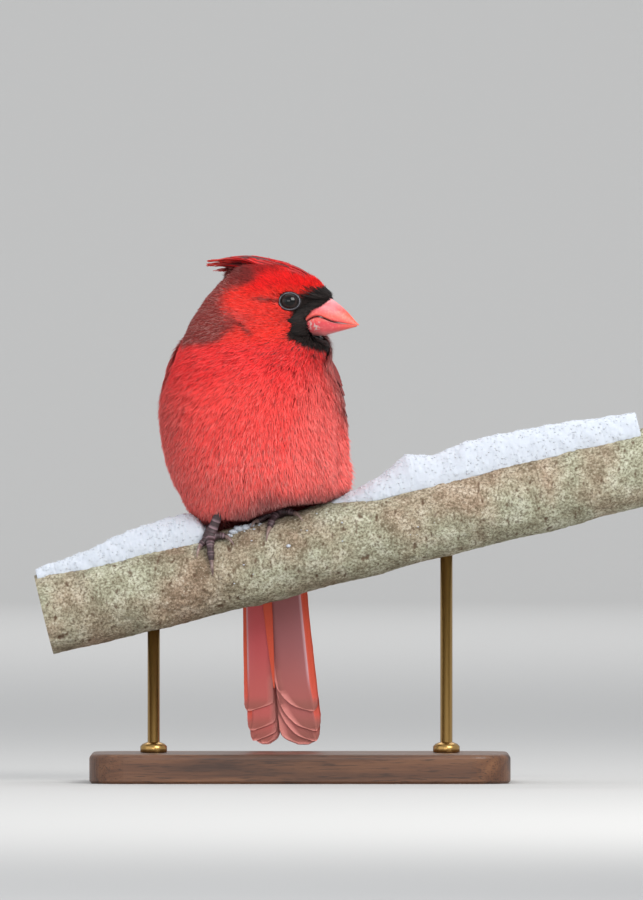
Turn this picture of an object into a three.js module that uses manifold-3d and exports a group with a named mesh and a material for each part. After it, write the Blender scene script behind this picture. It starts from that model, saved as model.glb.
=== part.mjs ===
// A male northern cardinal, life size, perched on a cut length of snowy branch that two rods hold over a plinth.
// Millimetres, +Z up, the origin in the middle of the plinth's underside. The bird's breast looks towards -Y and its
// head is turned to +X. Shapes of the bird are made in its own frame, where it faces -y exactly and its bill points
// along +x exactly, and are then turned and carried onto the perch.

import * as THREE from "three";
import Module from "manifold-3d";

const wasm = await Module();
wasm.setup();

// Driving dimensions
const GAP = 0.3; // between pieces that touch
const PLINTH = { length: 172, width: 98, height: 12, corner: 16, chamfer: 2 };
const ROD = { radius: 2.5, x: 60, depth: 6 };
const COLLAR = { radius: 5.5, height: 4 };
const BRANCH = { radius: 16.6, left: -105, right: 145, axisHeight: 94.35, slope: 13.9 };
const BIRD = { x: -18.9, turn: -12 };
const FACE_Y = -3; // the head's mid plane in the bird's frame
const EYE = { radius: 4.3, x: 18.4, z: 197.2, sunk: 2.7, lid: 3.75, lidThickness: 0.42 };
const BILL = { root: 23.5, tip: 44.65, tipHeight: 187, halfWidth: 7.2, culmenRise: 13.6, mouth: 0.3 };
const TAIL = { x: 1.6, y: 31, z: 97, lean: 14, drift: 1.3, length: 83.5, feathers: 6, thickness: 0.5, step: 0.42 };
const WING = { radius: 36, lead: -8, tipAngle: 72, tipHeight: 93, shoulderHeight: 168, hollow: 2.6 };
const VANE_THICKNESS = 0.55;

// The bird's outer form, without wings, tail and feet, as level sections from the vent to the crown. Each has its
// height, the place of its middle, its reach from there to the bird's right, left, front and back, the slope that
// lays its underside along the perch, and how pointed it is towards the bill, where 2 is an ellipse.
const SECTIONS = [
  { z: 84, x: 0.8, y: 31, right: 10.5, left: 10.5, front: 5.5, back: 5.5, slope: 0, point: 2 },
  { z: 92, x: 0.5, y: 29, right: 13, left: 14, front: 8.5, back: 8, slope: 0.05, point: 2 },
  { z: 99, x: 0, y: 25, right: 16, left: 20, front: 16, back: 12.5, slope: 0.16, point: 2 },
  { z: 105, x: 2, y: 15, right: 19, left: 28, front: 27, back: 22.5, slope: 0.24, point: 2 },
  { z: 111, x: 3, y: 9, right: 24.6, left: 33.6, front: 29, back: 28.5, slope: 0.2, point: 2 },
  { z: 119, x: 3, y: 6, right: 32.8, left: 36, front: 32, back: 32, slope: 0.12, point: 2 },
  { z: 129, x: 1.2, y: 4, right: 37.6, left: 37.9, front: 34.5, back: 34, slope: 0.04, point: 2 },
  { z: 143, x: 0, y: 2, right: 39.2, left: 38.6, front: 35, back: 34.5, slope: 0, point: 2 },
  { z: 155, x: -0.8, y: 0, right: 38.2, left: 37.6, front: 33, back: 32.8, slope: 0, point: 2 },
  { z: 165, x: -0.2, y: -1.5, right: 36, left: 35.4, front: 29.4, back: 29.4, slope: 0, point: 2 },
  { z: 173, x: 0.5, y: -2.6, right: 33.6, left: 32, front: 25.6, back: 26, slope: 0, point: 2 },
  { z: 181.5, x: 2.5, y: -3, right: 31.6, left: 28.8, front: 21.4, back: 21.4, slope: 0, point: 1.85 },
  { z: 189, x: 5.5, y: -3, right: 31.2, left: 24.6, front: 18.2, back: 18.2, slope: 0, point: 1.5 },
  { z: 197.5, x: 8, y: -3, right: 28.2, left: 24.4, front: 16.3, back: 16.3, slope: 0, point: 1.5 },
  { z: 204, x: 7.5, y: -3, right: 21.6, left: 22.3, front: 14.4, back: 14.4, slope: 0, point: 1.65 },
  { z: 209.5, x: 6.5, y: -3, right: 15.2, left: 16.6, front: 11.6, back: 11.6, slope: 0, point: 1.85 },
  { z: 213, x: 5, y: -3, right: 9.6, left: 9.8, front: 7.8, back: 7.8, slope: 0, point: 2 },
  { z: 215, x: 3.4, y: -3, right: 3.2, left: 3.2, front: 2.6, back: 2.6, slope: 0, point: 2 },
];
const SNOW = {
  left: [
    { along: -107, rise: 2.5 },
    { along: -85, rise: 5.2 },
    { along: -62, rise: 8.6 },
    { along: -46, rise: 9.6 },
    { along: -40.5, rise: 6.5 },
    { along: -38.5, rise: 0.5 },
  ],
  right: [
    { along: 17, rise: 0.3 },
    { along: 27, rise: 3 },
    { along: 38, rise: 5.6 },
    { along: 47, rise: 9.8 },
    { along: 52, rise: 12.4 },
    { along: 62, rise: 9.6 },
    { along: 76, rise: 11.6 },
    { along: 110, rise: 10 },
    { along: 147, rise: 7 },
  ],
};
const HEAD_CUT = { x: 30, z: 180.6, slope: -0.27 }; // from under the chin up to the nape
const SHOULDER_CUT = { x: 0, z: 170, slope: 0 };

// Small maths
const rad = THREE.MathUtils.degToRad;
const mix = THREE.MathUtils.lerp;
const point = (x, y, z) => new THREE.Vector3(x, y, z);
const range = (count) => Array.from({ length: count }, (_, i) => i);
const steps = (count, from, to) => range(count).map((i) => mix(from, to, i / (count - 1)));

// A smooth curve through the rows' values of one key, with no overshoot between them.
function smoothThrough(rows, at, key) {
  const gap = (i) => rows[i + 1][at] - rows[i][at];
  const rise = (i) => (rows[i + 1][key] - rows[i][key]) / gap(i);
  const tangent = rows.map((_, i) => {
    if (i === 0) return rise(0);
    if (i === rows.length - 1) return rise(i - 1);
    const [before, after] = [rise(i - 1), rise(i)];
    return before * after <= 0 ? 0 : (2 * before * after) / (before + after);
  });
  return (where) => {
    const last = rows.length - 2;
    const found = rows.findIndex((row) => row[at] > where) - 1;
    const i = Math.min(Math.max(found < -1 ? last : found, 0), last);
    const t = THREE.MathUtils.clamp((where - rows[i][at]) / gap(i), 0, 1);
    const [t2, t3] = [t * t, t * t * t];
    return (
      (2 * t3 - 3 * t2 + 1) * rows[i][key] +
      (t3 - 2 * t2 + t) * gap(i) * tangent[i] +
      (3 * t2 - 2 * t3) * rows[i + 1][key] +
      (t3 - t2) * gap(i) * tangent[i + 1]
    );
  };
}

// A repeatable random number from 0 to 1 for each pair of whole numbers.
function chance(a, b = 0) {
  const s = Math.sin(a * 127.1 + b * 311.7 + 17.3) * 43758.5453;
  return s - Math.floor(s);
}

// Solids
function solidOf(points, faces) {
  let volume = 0;
  for (const [a, b, c] of faces) volume += points[a].dot(point(0, 0, 0).crossVectors(points[b], points[c]));
  const outward = volume < 0 ? faces.map(([a, b, c]) => [a, c, b]) : faces;
  return new wasm.Manifold(
    new wasm.Mesh({
      numProp: 3,
      vertProperties: new Float32Array(points.flatMap((p) => [p.x, p.y, p.z])),
      triVerts: new Uint32Array(outward.flat()),
    }),
  );
}

// Rings of equal count joined into one closed body. Ring places listed in turned split their quads the other way,
// so that the two faces of a thin vane are cut into triangles alike.
function loft(rings, turned = []) {
  const n = rings[0].length;
  const points = rings.flat();
  const faces = [];
  for (const r of range(rings.length - 1)) {
    for (const k of range(n)) {
      const [a, b] = [r * n + k, r * n + ((k + 1) % n)];
      const [c, d] = [a + n, b + n];
      if (turned.includes(k)) faces.push([a, b, c], [b, d, c]);
      else faces.push([a, b, d], [a, d, c]);
    }
  }
  for (const [start, ring] of [
    [0, rings[0]],
    [(rings.length - 1) * n, rings.at(-1)],
  ]) {
    if (n > 8) points.push(ring.reduce((sum, p) => sum.add(p), point(0, 0, 0)).divideScalar(n));
    const hub = n > 8 ? points.length - 1 : start;
    for (const k of n > 8 ? range(n) : range(n - 2).map((i) => i + 1)) {
      const [a, b] = [start + k, start + ((k + 1) % n)];
      faces.push(start ? [a, b, hub] : [b, a, hub]);
    }
  }
  return solidOf(points, faces);
}

// A closed solid from one of three.js's own geometries.
function geometrySolid(geometry, matrix = new THREE.Matrix4()) {
  const source = geometry.toNonIndexed().applyMatrix4(matrix).getAttribute("position");
  const known = new Map();
  const points = [];
  const corner = (i) => {
    const p = point(source.getX(i), source.getY(i), source.getZ(i));
    const name = p.toArray().map((v) => Math.round(v * 1e4)).join();
    if (!known.has(name)) known.set(name, points.push(p) - 1);
    return known.get(name);
  };
  const faces = range(source.count / 3).map((i) => [corner(3 * i), corner(3 * i + 1), corner(3 * i + 2)]);
  return solidOf(points, faces.filter(([a, b, c]) => a !== b && b !== c && a !== c));
}

const join = (pieces) => pieces.reduce((sum, piece) => sum.add(piece));
const cut = (solid, ...tools) => tools.reduce((rest, tool) => rest.subtract(tool), solid);
const largest = (solid) => solid.decompose().sort((a, b) => b.volume() - a.volume())[0];

// A tube of round sections along points, each with its own radius, flattened by squash along its up direction.
function tube(path, radii, sides = 8, up = point(0, 0, 1), squash = 1) {
  const rings = path.map((p, i) => {
    const along = path[Math.min(i + 1, path.length - 1)].clone().sub(path[Math.max(i - 1, 0)]).normalize();
    const across = point(0, 0, 0).crossVectors(along, up).normalize();
    const over = point(0, 0, 0).crossVectors(across, along);
    return range(sides).map((k) => {
      const angle = (2 * Math.PI * k) / sides;
      return p
        .clone()
        .addScaledVector(across, radii[i] * Math.cos(angle))
        .addScaledVector(over, squash * radii[i] * Math.sin(angle));
    });
  });
  return loft(rings);
}

// A feather's vane: a thin plate along a path, with its own width, width direction and face direction at each
// point. Roll tips its whole face sideways.
const VANE_OUTLINE = [0.6, 0.95, 1, 0.9, 0.4];
function vane({ path, across, facing, width, thickness = VANE_THICKNESS, outline = VANE_OUTLINE, roll = 0 }) {
  const rings = path.map((p, i) => {
    const place = (side, lift) =>
      p
        .clone()
        .addScaledVector(across[i], (side * width * outline[i]) / 2)
        .addScaledVector(facing[i], lift + roll * side);
    const h = thickness / 2;
    return [place(-1, h), place(1, h), place(1, -h), place(-1, -h)];
  });
  return loft(rings, [2]);
}

// The bird's outer form
const section = Object.fromEntries(
  Object.keys(SECTIONS[0])
    .filter((key) => key !== "z")
    .map((key) => [key, smoothThrough(SECTIONS, "z", key)]),
);

// A folded wing is laid out flat, with its length from the shoulder to the tip and its depth from the leading edge
// to the back, and is then wrapped on the bird's side, round by an angle from the side to the back.
const shoulder = { round: rad(WING.lead) * WING.radius, z: WING.shoulderHeight };
const wingReach = {
  round: rad(WING.tipAngle) * WING.radius - shoulder.round,
  z: WING.tipHeight - shoulder.z,
};
const wingLength = Math.hypot(wingReach.round, wingReach.z);
const wingAlong = { round: wingReach.round / wingLength, z: wingReach.z / wingLength };

// How deep the folded wing lies in the plumage of the side, which the form leaves room for
function wingHollow(angle, z) {
  const turn = 90 - Math.abs(((angle + 450) % 360) - 180);
  const [round, up] = [rad(turn) * WING.radius - shoulder.round, z - shoulder.z];
  const along = round * wingAlong.round + up * wingAlong.z;
  const deep = up * wingAlong.round - round * wingAlong.z;
  const ramp = THREE.MathUtils.smoothstep;
  return WING.hollow * ramp(along, -9, 4) * (1 - ramp(along, 74, 92)) * ramp(deep, -6, 3) * (1 - ramp(deep, 22, 34));
}

// A point of the form at a height and an angle about the middle, where 0 is the bird's left and 90 its back.
function formPoint(angle, z) {
  const [c, s] = [Math.cos(rad(angle)), Math.sin(rad(angle))];
  const reachX = c > 0 ? section.left(z) : section.right(z);
  const reachY = s > 0 ? section.back(z) : section.front(z);
  const power = c > 0 ? section.point(z) : 2;
  const round = (Math.abs(c / reachX) ** power + Math.abs(s / reachY) ** power) ** (-1 / power);
  const reach = round - wingHollow(angle, z);
  return point(section.x(z) + reach * c, section.y(z) + reach * s, z + section.slope(z) * reach * c);
}

function formNormal(angle, z) {
  const round = formPoint(angle + 1, z).sub(formPoint(angle - 1, z));
  const upward = formPoint(angle, z + 0.4).sub(formPoint(angle, z - 0.4));
  return round.cross(upward).normalize();
}

const onForm = (angle, z, lift) => formPoint(angle, z).addScaledVector(formNormal(angle, z), lift);

function formSolid(grow) {
  const levels = [84, 89, 94, 98, 101.5, 105, 108, 111, 115, 120, 126, 133]
    .concat(steps(6, 141, 173))
    .concat(steps(6, 179, 200))
    .concat([203.5, 206.5, 209, 211.2, 213, 214.2, 215]);
  const rings = levels.map((z) => range(36).map((k) => onForm(10 * k, z, grow)));
  if (grow) rings[0].forEach((p) => (p.z -= grow));
  return loft(rings);
}

// Everything above a plane that slopes along x, as a large box.
function above({ x, z, slope }, offset) {
  const size = 400;
  const box = new THREE.BoxGeometry(size, size, size);
  const place = new THREE.Matrix4()
    .makeTranslation(x, 0, z + offset)
    .multiply(new THREE.Matrix4().makeRotationY(-Math.atan(slope)))
    .multiply(new THREE.Matrix4().makeTranslation(0, 0, size / 2));
  return geometrySolid(box, place);
}

// From the bird's frame to the part's, and back
const birdPlace = new THREE.Matrix4()
  .makeTranslation(BIRD.x, 0, 0)
  .multiply(new THREE.Matrix4().makeRotationZ(rad(BIRD.turn)));
const toBird = birdPlace.clone().invert();

// The perch
const slope = rad(BRANCH.slope);
const perchAlong = point(Math.cos(slope), 0, Math.sin(slope));
const perchUp = point(-Math.sin(slope), 0, Math.cos(slope));
const perchFront = point(0, -1, 0);
const KNOTS = [
  { along: -31, angle: 100, size: 7, rise: 1.5 },
  { along: -86, angle: 60, size: 9, rise: 1.6 },
  { along: -64, angle: 150, size: 10, rise: 1.8 },
  { along: 44, angle: 140, size: 9, rise: 1.7 },
  { along: 92, angle: 95, size: 8, rise: 1.5 },
  { along: 118, angle: 40, size: 9, rise: 1.3 },
  { along: 25, angle: 215, size: 11, rise: 2 },
  { along: -50, angle: 250, size: 10, rise: 1.8 },
];

// The bark's radius, a little uneven, with old twig knots. The angle is 0 on top and 90 at the front.
function barkRadius(along, angle) {
  const wave = 0.28 * Math.sin(along / 13 + 2 * rad(angle)) + 0.2 * Math.sin(along / 6.1 - 3 * rad(angle));
  const knots = KNOTS.reduce((sum, knot) => {
    const turn = ((angle - knot.angle + 540) % 360) - 180;
    const away = Math.hypot(along - knot.along, rad(turn) * BRANCH.radius) / knot.size;
    return sum + knot.rise * Math.exp(-4 * away * away);
  }, 0);
  return BRANCH.radius - 0.0035 * along + wave + knots;
}

// A point of the perch: how far along it, the angle round it, and the distance from its axis.
function perchPoint(along, angle, distance) {
  return point(0, 0, BRANCH.axisHeight)
    .addScaledVector(perchAlong, along)
    .addScaledVector(perchUp, distance * Math.cos(rad(angle)))
    .addScaledVector(perchFront, distance * Math.sin(rad(angle)));
}

function branchSolid(grow) {
  const ends = [BRANCH.left / perchAlong.x - grow, BRANCH.right / perchAlong.x + grow];
  const rings = steps(25, ...ends).map((along) =>
    range(20).map((k) => perchPoint(along, 18 * k, barkRadius(along, 18 * k) + grow)),
  );
  return loft(rings);
}

// Snow lies on the branch's top as a ridge. Its rows say how high it stands at places along the perch.
function snowSolid(rows, fullWidth, seed) {
  const rise = smoothThrough(rows, "along", "rise");
  const sides = 12;
  const rings = steps(17, rows[0].along, rows.at(-1).along).map((along, i) => {
    const height = rise(along) * (0.9 + 0.2 * chance(i, seed));
    const width = (fullWidth * Math.min(1, 0.35 + height / 11)) / 2;
    return range(sides).map((k) => {
      const [c, s] = [Math.cos((2 * Math.PI * k) / sides), Math.sin((2 * Math.PI * k) / sides)];
      return perchPoint(along, 0, barkRadius(along, 0) - 3)
        .addScaledVector(perchFront, width * c)
        .addScaledVector(perchUp, s > 0 ? s ** 0.8 * (height + 3) : 2 * s);
    });
  });
  return loft(rings);
}

// Feet. Places are along the perch and round it, and lie on the bark.
const TOE = { radii: [1.6, 1.3, 1.5, 1.1, 1.2], clawRadii: [0.75, 0.5, 0.12], lift: 1.15 };
const FEET = {
  right: {
    base: { along: -32.4, angle: 20 },
    shin: point(-31.5, -3, 119),
    toes: [
      { along: -36, angle: 72, clawAlong: -36.9, clawAngle: 94 },
      { along: -38.9, angle: 46, clawAlong: -41.6, clawAngle: 63 },
      { along: -27.8, angle: 41, clawAlong: -25.4, clawAngle: 59 },
      { along: -31.6, angle: -32, clawAlong: -31.2, clawAngle: -58 },
    ],
  },
  left: {
    base: { along: -4.6, angle: 14 },
    shin: point(-8.5, -3, 126),
    toes: [
      { along: -9.6, angle: 44, clawAlong: -12.4, clawAngle: 65 },
      { along: -13.4, angle: 22, clawAlong: -17.2, clawAngle: 33 },
      { along: 1.6, angle: 26, clawAlong: 4.2, clawAngle: 46 },
      { along: -4.6, angle: -36, clawAlong: -4.4, clawAngle: -62 },
    ],
  },
};

function footSolid({ base, toes }, grow) {
  const pad = perchPoint(base.along, base.angle, BRANCH.radius + 1.6);
  const pieces = toes.map((toe) => {
    const run = steps(5, 0, 1).map((t) => {
      const lift = TOE.lift + 0.5 * Math.sin(Math.PI * t) + 0.6 * (1 - t);
      return perchPoint(mix(base.along, toe.along, t), mix(base.angle, toe.angle, t), BRANCH.radius + lift);
    });
    const claw = [0.35, 0.7, 1].map((t) => {
      const [along, angle] = [mix(toe.along, toe.clawAlong, t), mix(toe.angle, toe.clawAngle, t)];
      return perchPoint(along, angle, BRANCH.radius + 1 + 1.1 * Math.sin(Math.PI * t) - 0.45 * t);
    });
    const up = run.at(-1).clone().sub(perchPoint(toe.along, toe.angle, 0)).normalize();
    return tube([...run, ...claw], [...TOE.radii, ...TOE.clawRadii].map((r) => r + grow), 6, up);
  });
  const heel = new THREE.Matrix4().makeTranslation(pad.x, pad.y, pad.z).scale(point(2.5, 2.5, 2.2).addScalar(grow));
  pieces.push(geometrySolid(new THREE.SphereGeometry(1, 8, 6), heel));
  return join(pieces);
}

function legSolid({ base, shin }, grow) {
  const foot = perchPoint(base.along, base.angle, BRANCH.radius + 2.2);
  const path = steps(5, 0, 1).map((t) => foot.clone().lerp(shin, t));
  return tube(path, [1.75, 1.45, 1.35, 1.5, 1.8].map((r) => r + grow), 8, point(0, 1, 0));
}

// The bill, in the bird's frame: the ridge of the upper half, the underside of the lower half, and the mouth line
// between them, which rises from the corner and drops again before the tip.
const MOUTH_LINE = smoothThrough(
  [
    { x: 23, z: 187.4 },
    { x: 26.5, z: 190.3 },
    { x: 29.5, z: 190.8 },
    { x: 33.8, z: 188.8 },
    { x: 38, z: 188 },
    { x: 44.7, z: 187 },
  ],
  "x",
  "z",
);
const billShare = (x) => (x - BILL.root) / (BILL.tip - BILL.root);
const culmen = (x) => BILL.tipHeight + BILL.culmenRise * Math.max(0, 1 - billShare(x) ** 2) ** 0.8;
const gonys = (x) => Math.min(182.9 + 0.27 * Math.max(0, x - 30), MOUTH_LINE(x) - 0.25);
const billHalfWidth = (x) => BILL.halfWidth * Math.max(0.03, 1 - ((x - 22) / (BILL.tip - 22)) ** 1.7);

function billHalf(edge, sign, tip, grow) {
  const rings = [0, 0.15, 0.3, 0.42, 0.54, 0.66, 0.77, 0.86, 0.93, 0.98, 1].map((t) => {
    const x = mix(BILL.root - grow, tip, t);
    const [width, level] = [billHalfWidth(x) + grow, MOUTH_LINE(x) + (sign * BILL.mouth) / 2 - sign * grow * 2];
    const reach = Math.max(0.12, Math.abs(edge(x) - level)) + (grow ? grow : 0);
    const arc = steps(9, 0, 180).map((angle) =>
      point(x, FACE_Y + width * Math.cos(rad(angle)), level + sign * reach * Math.sin(rad(angle))),
    );
    return [...arc, point(x, FACE_Y - width * 0.4, level), point(x, FACE_Y + width * 0.4, level)];
  });
  return loft(rings);
}

const upperBill = (grow) => billHalf(culmen, 1, BILL.tip, grow);
const lowerBill = (grow) => billHalf(gonys, -1, BILL.tip - 0.9, grow);

function nostrils() {
  return [-1, 1].map((side) => {
    const place = new THREE.Matrix4().makeTranslation(32.6, FACE_Y + side * 3.5, 196.1).scale(point(0.7, 0.6, 0.45));
    return geometrySolid(new THREE.SphereGeometry(1, 8, 6), place);
  });
}

// Eyes, sunk in the sides of the head, each in a ring of lid
function eyeFrame(side) {
  const surfaceY = 13.1;
  const out = point(0.24, side, 0.05).normalize();
  const rim = point(EYE.x, FACE_Y + side * surfaceY, EYE.z);
  return { out, rim, middle: rim.clone().addScaledVector(out, -EYE.sunk) };
}

function eyeSolid(side, grow) {
  const { middle, out } = eyeFrame(side);
  const turn = new THREE.Matrix4().makeRotationFromQuaternion(
    new THREE.Quaternion().setFromUnitVectors(point(0, 1, 0), out),
  );
  const place = new THREE.Matrix4().makeTranslation(middle.x, middle.y, middle.z).multiply(turn);
  return geometrySolid(new THREE.SphereGeometry(EYE.radius + grow, 14, 8), place);
}

function lidSolid(side) {
  const { rim, out } = eyeFrame(side);
  const turn = new THREE.Quaternion().setFromUnitVectors(point(0, 0, 1), out);
  const lift = rim.clone().addScaledVector(out, 0.15);
  const place = new THREE.Matrix4().compose(lift, turn, point(1.04, 0.96, 1.3));
  return geometrySolid(new THREE.TorusGeometry(EYE.lid, EYE.lidThickness, 4, 16), place);
}

// The crest, feather by feather: rows that root over the crown and sweep back to one wedge
const CREST_ROWS = [
  { count: 3, rootX: 14, spread: 7, rootZ: 212, tipX: -6, tipZ: 216, tipSpread: 5, rise: 3.4, width: 4 },
  { count: 2, rootX: 7, spread: 3.6, rootZ: 213.4, tipX: -13.5, tipZ: 215, tipSpread: 2.8, rise: 2.5, width: 4 },
  { count: 2, rootX: 3, spread: 3.4, rootZ: 213.4, tipX: -19.4, tipZ: 213.5, tipSpread: 1.7, rise: 2.6, width: 3.6 },
  { count: 2, rootX: 0, spread: 8, rootZ: 211.4, tipX: -18.6, tipZ: 211.4, tipSpread: 3.4, rise: 1.9, width: 3.6 },
  { count: 2, rootX: -2, spread: 10, rootZ: 208.8, tipX: -16.4, tipZ: 209, tipSpread: 5.4, rise: 1.6, width: 3.4 },
];
const CREST_OUTLINE = [0.8, 1, 0.85, 0.5, 0.14];

function crestVanes() {
  return CREST_ROWS.flatMap((row, r) =>
    range(row.count).map((i) => {
      const side = row.count > 1 ? (2 * i) / (row.count - 1) - 1 : 0;
      const reach = 1 + 0.1 * (chance(i, r) - 0.5) - 0.12 * Math.abs(side);
      const root = point(row.rootX, FACE_Y + (side * row.spread) / 2, row.rootZ - 0.9 * side * side);
      const tip = point(mix(row.rootX, row.tipX, reach), FACE_Y + (side * row.tipSpread) / 2, row.tipZ);
      const top = root.clone().lerp(tip, 0.5).add(point(0, 0, row.rise));
      const curve = new THREE.QuadraticBezierCurve3(root, top, tip);
      const path = steps(5, 0, 1).map((t) => curve.getPoint(t));
      const lean = point(0, side * 0.55, 1).normalize();
      const across = path.map((_, k) => lean.clone().cross(curve.getTangent(k / 4)).normalize());
      const facing = path.map(() => lean);
      return vane({ path, across, facing, width: row.width, outline: CREST_OUTLINE });
    }),
  );
}

// Wings. A point of one: how far along it, how far back from its leading edge, and the lift from the body.
function wingPoint(hand, along, deep, lift) {
  const round = shoulder.round + wingAlong.round * along - wingAlong.z * deep;
  const z = Math.max(shoulder.z + wingAlong.z * along + wingAlong.round * deep, SECTIONS[0].z + 1);
  const angle = THREE.MathUtils.radToDeg(round / WING.radius);
  return onForm(hand > 0 ? angle : 180 - angle, z, lift);
}

const WING_WIDTH = (t) => (t < 0.99 ? Math.min(1, 0.7 + 0.9 * t) * (t > 0.75 ? 0.9 : 1) : 0.34);
function wingVane(hand, { from, to, lift, width }) {
  const shares = to[0] - from[0] > 30 ? [0, 0.3, 0.6, 0.87, 1] : [0, 0.72, 1];
  const place = (t, extra = 0) =>
    wingPoint(hand, mix(from[0], to[0], t), mix(from[1], to[1], t), mix(lift[0], lift[1], t) + extra);
  const path = shares.map((t) => place(t));
  const facing = shares.map((t, i) => place(t, 1).sub(path[i]).normalize());
  const across = shares.map((t, i) => {
    const along = place(t + 0.03).sub(place(t - 0.03));
    return point(0, 0, 0).crossVectors(facing[i], along).normalize();
  });
  const outline = shares.map(WING_WIDTH);
  return vane({ path, across, facing, width, outline, roll: -0.25 * hand });
}

// The wing's fleshy arm under its coverts, a pad that lies on the body and holds every root
function wingPad(hand) {
  const columns = 5;
  const ring = (along) => {
    const depth = 21 * Math.sin(Math.PI * mix(0.1, 0.6, (along - 1) / 32));
    const spots = steps(columns, 0, 1).map((t) => mix(0.4, depth, t));
    const dome = (i) => 1.1 + 2.6 * Math.sin((Math.PI * (i + 0.5)) / columns);
    return [
      ...spots.map((deep, i) => wingPoint(hand, along, deep, dome(i))),
      ...spots.toReversed().map((deep) => wingPoint(hand, along, deep, GAP)),
    ];
  };
  return loft([1, 4, 10, 20, 33].map(ring));
}

function wingSolid(hand) {
  const vanes = [];
  const add = (from, to, lift, width) => vanes.push(wingVane(hand, { from, to, lift, width }));
  for (const i of range(5)) {
    // primaries, the longest outermost and lowest
    add([20, 3 + 1.9 * i], [wingLength - 8.5 * i - (i ? 0 : 3), 2 + 2.2 * i], [1.1, 0.95 + 0.2 * i], 5);
  }
  for (const i of range(4)) {
    // secondaries, each a little shorter and further back
    add([18, 11 + 2.6 * i], [60 - 2.5 * i, 11.5 + 3.5 * i], [1.7, 1.9 + 0.2 * i], 5.8);
  }
  for (const i of range(3)) {
    // tertials, over the secondaries
    add([18, 16.5 + 2 * i], [51 - 7.5 * i, 23 + 1.8 * i], [2.2, 2.7 + 0.25 * i], 7);
  }
  for (const i of range(2)) {
    // primary coverts along the leading edge
    add([16, 3.4 + 2 * i], [40 - 3 * i, 2.8 + 2.8 * i], [1.4, 1.6 + 0.2 * i], 4.4);
  }
  for (const i of range(5)) {
    // greater coverts
    add([16, 3.6 + 3.4 * i], [32.5 - 0.7 * i, 4.4 + 4.4 * i], [2, 2.4 + 0.15 * i], 5.6);
  }
  for (const i of range(4)) {
    // median coverts
    add([9, 3.6 + 3.2 * i], [20 - 0.5 * i, 4.2 + 4.9 * i], [1.9, 3.1 + 0.15 * i], 6);
  }
  return join([wingPad(hand), ...vanes]);
}

// The tail: two stacks of long feathers, the outermost shortest and foremost, each stack spread to its own side
function tailFrame() {
  const lean = rad(TAIL.lean);
  return {
    root: point(TAIL.x, TAIL.y, TAIL.z),
    down: point(0, Math.sin(lean), -Math.cos(lean)),
    front: point(0, -Math.cos(lean), -Math.sin(lean)),
    side: point(1, 0, 0),
  };
}

const TAIL_OUTLINE = [0.75, 1, 1, 0.86, 0.4];
function tailVane(side, pair) {
  const { root, down, front } = tailFrame();
  const length = TAIL.length - [0, 0, 0.6, 1.6, 5.6, 12.6][pair];
  const width = 12.6 + 0.7 * pair;
  const level = (2 * pair + (side > 0 ? 1 : 0)) * TAIL.step;
  const path = [0, 0.35, 0.8, 0.955, 1].map((t) => {
    const outerEdge = mix(9 + 0.7 * pair, 11.6 + 0.77 * pair, t);
    return root
      .clone()
      .addScaledVector(down, length * t)
      .add(point(side * (outerEdge - width / 2) + TAIL.drift * t, 0, 0))
      .addScaledVector(front, level);
  });
  const facing = path.map(() => front);
  const across = path.map(() => point(1, 0, 0));
  return vane({ path, across, facing, width, thickness: TAIL.thickness, outline: TAIL_OUTLINE });
}

function coverts(count, rootDrop, lengths, spreads, offset, slant) {
  const { root, down, front } = tailFrame();
  return range(count).map((i) => {
    const side = (2 * i) / (count - 1) - 1;
    const length = mix(lengths[0], lengths[1], Math.abs(side));
    const path = steps(5, 0, 1).map((t) =>
      root
        .clone()
        .addScaledVector(down, rootDrop + length * t)
        .add(point(side * mix(spreads[0], spreads[1], t), 0, 0))
        .addScaledVector(front, offset + slant * (1 - t)),
    );
    const facing = path.map(() => front.clone().add(point(Math.sign(slant) * side * 0.2, 0, 0)).normalize());
    const across = facing.map((f) => down.clone().cross(f).normalize());
    return vane({ path, across, facing, width: 7 });
  });
}

function tailSolid() {
  const { root, down, front } = tailFrame();
  const levels = [0, 0.4, 0.8, 1];
  const depth = (2 * TAIL.feathers - 1) * TAIL.step;
  const rump = levels.map((t) => {
    const middle = root.clone().addScaledVector(down, mix(-2, 26, t)).addScaledVector(front, depth / 2);
    const [wide, deep] = [mix(10, 8.5, t), mix(6, 3.4, t)];
    return range(12).map((k) => {
      const [c, s] = [Math.cos((Math.PI * (k + 0.5)) / 6), Math.sin((Math.PI * (k + 0.5)) / 6)];
      return middle
        .clone()
        .add(point(wide * Math.sign(c) * Math.abs(c) ** 0.6, 0, 0))
        .addScaledVector(front, deep * Math.sign(s) * Math.abs(s) ** 0.6);
    });
  });
  const feathers = [-1, 1].flatMap((side) => range(TAIL.feathers).map((pair) => tailVane(side, pair)));
  const under = coverts(4, 2, [24, 18], [4.5, 6], depth + 0.95, 1.4);
  const upper = coverts(4, 2, [32, 24], [4.5, 7], -0.95, -1.4);
  return join([loft(rump), ...feathers, ...under, ...upper]);
}

// The stand
function plinthSolid() {
  const { length, width, height, corner, chamfer } = PLINTH;
  const [x, y] = [length / 2 - chamfer, width / 2 - chamfer];
  const r = corner - chamfer;
  const outline = new THREE.Shape();
  outline.moveTo(-x + r, -y);
  outline.lineTo(x - r, -y).absarc(x - r, -y + r, r, -Math.PI / 2, 0);
  outline.lineTo(x, y - r).absarc(x - r, y - r, r, 0, Math.PI / 2);
  outline.lineTo(-x + r, y).absarc(-x + r, y - r, r, Math.PI / 2, Math.PI);
  outline.lineTo(-x, -y + r).absarc(-x + r, -y + r, r, Math.PI, 1.5 * Math.PI);
  const form = new THREE.ExtrudeGeometry(outline, {
    depth: height - 2 * chamfer,
    bevelThickness: chamfer,
    bevelSize: chamfer,
    bevelSegments: 1,
    curveSegments: 4,
  });
  return geometrySolid(form, new THREE.Matrix4().makeTranslation(0, 0, chamfer));
}

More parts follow.
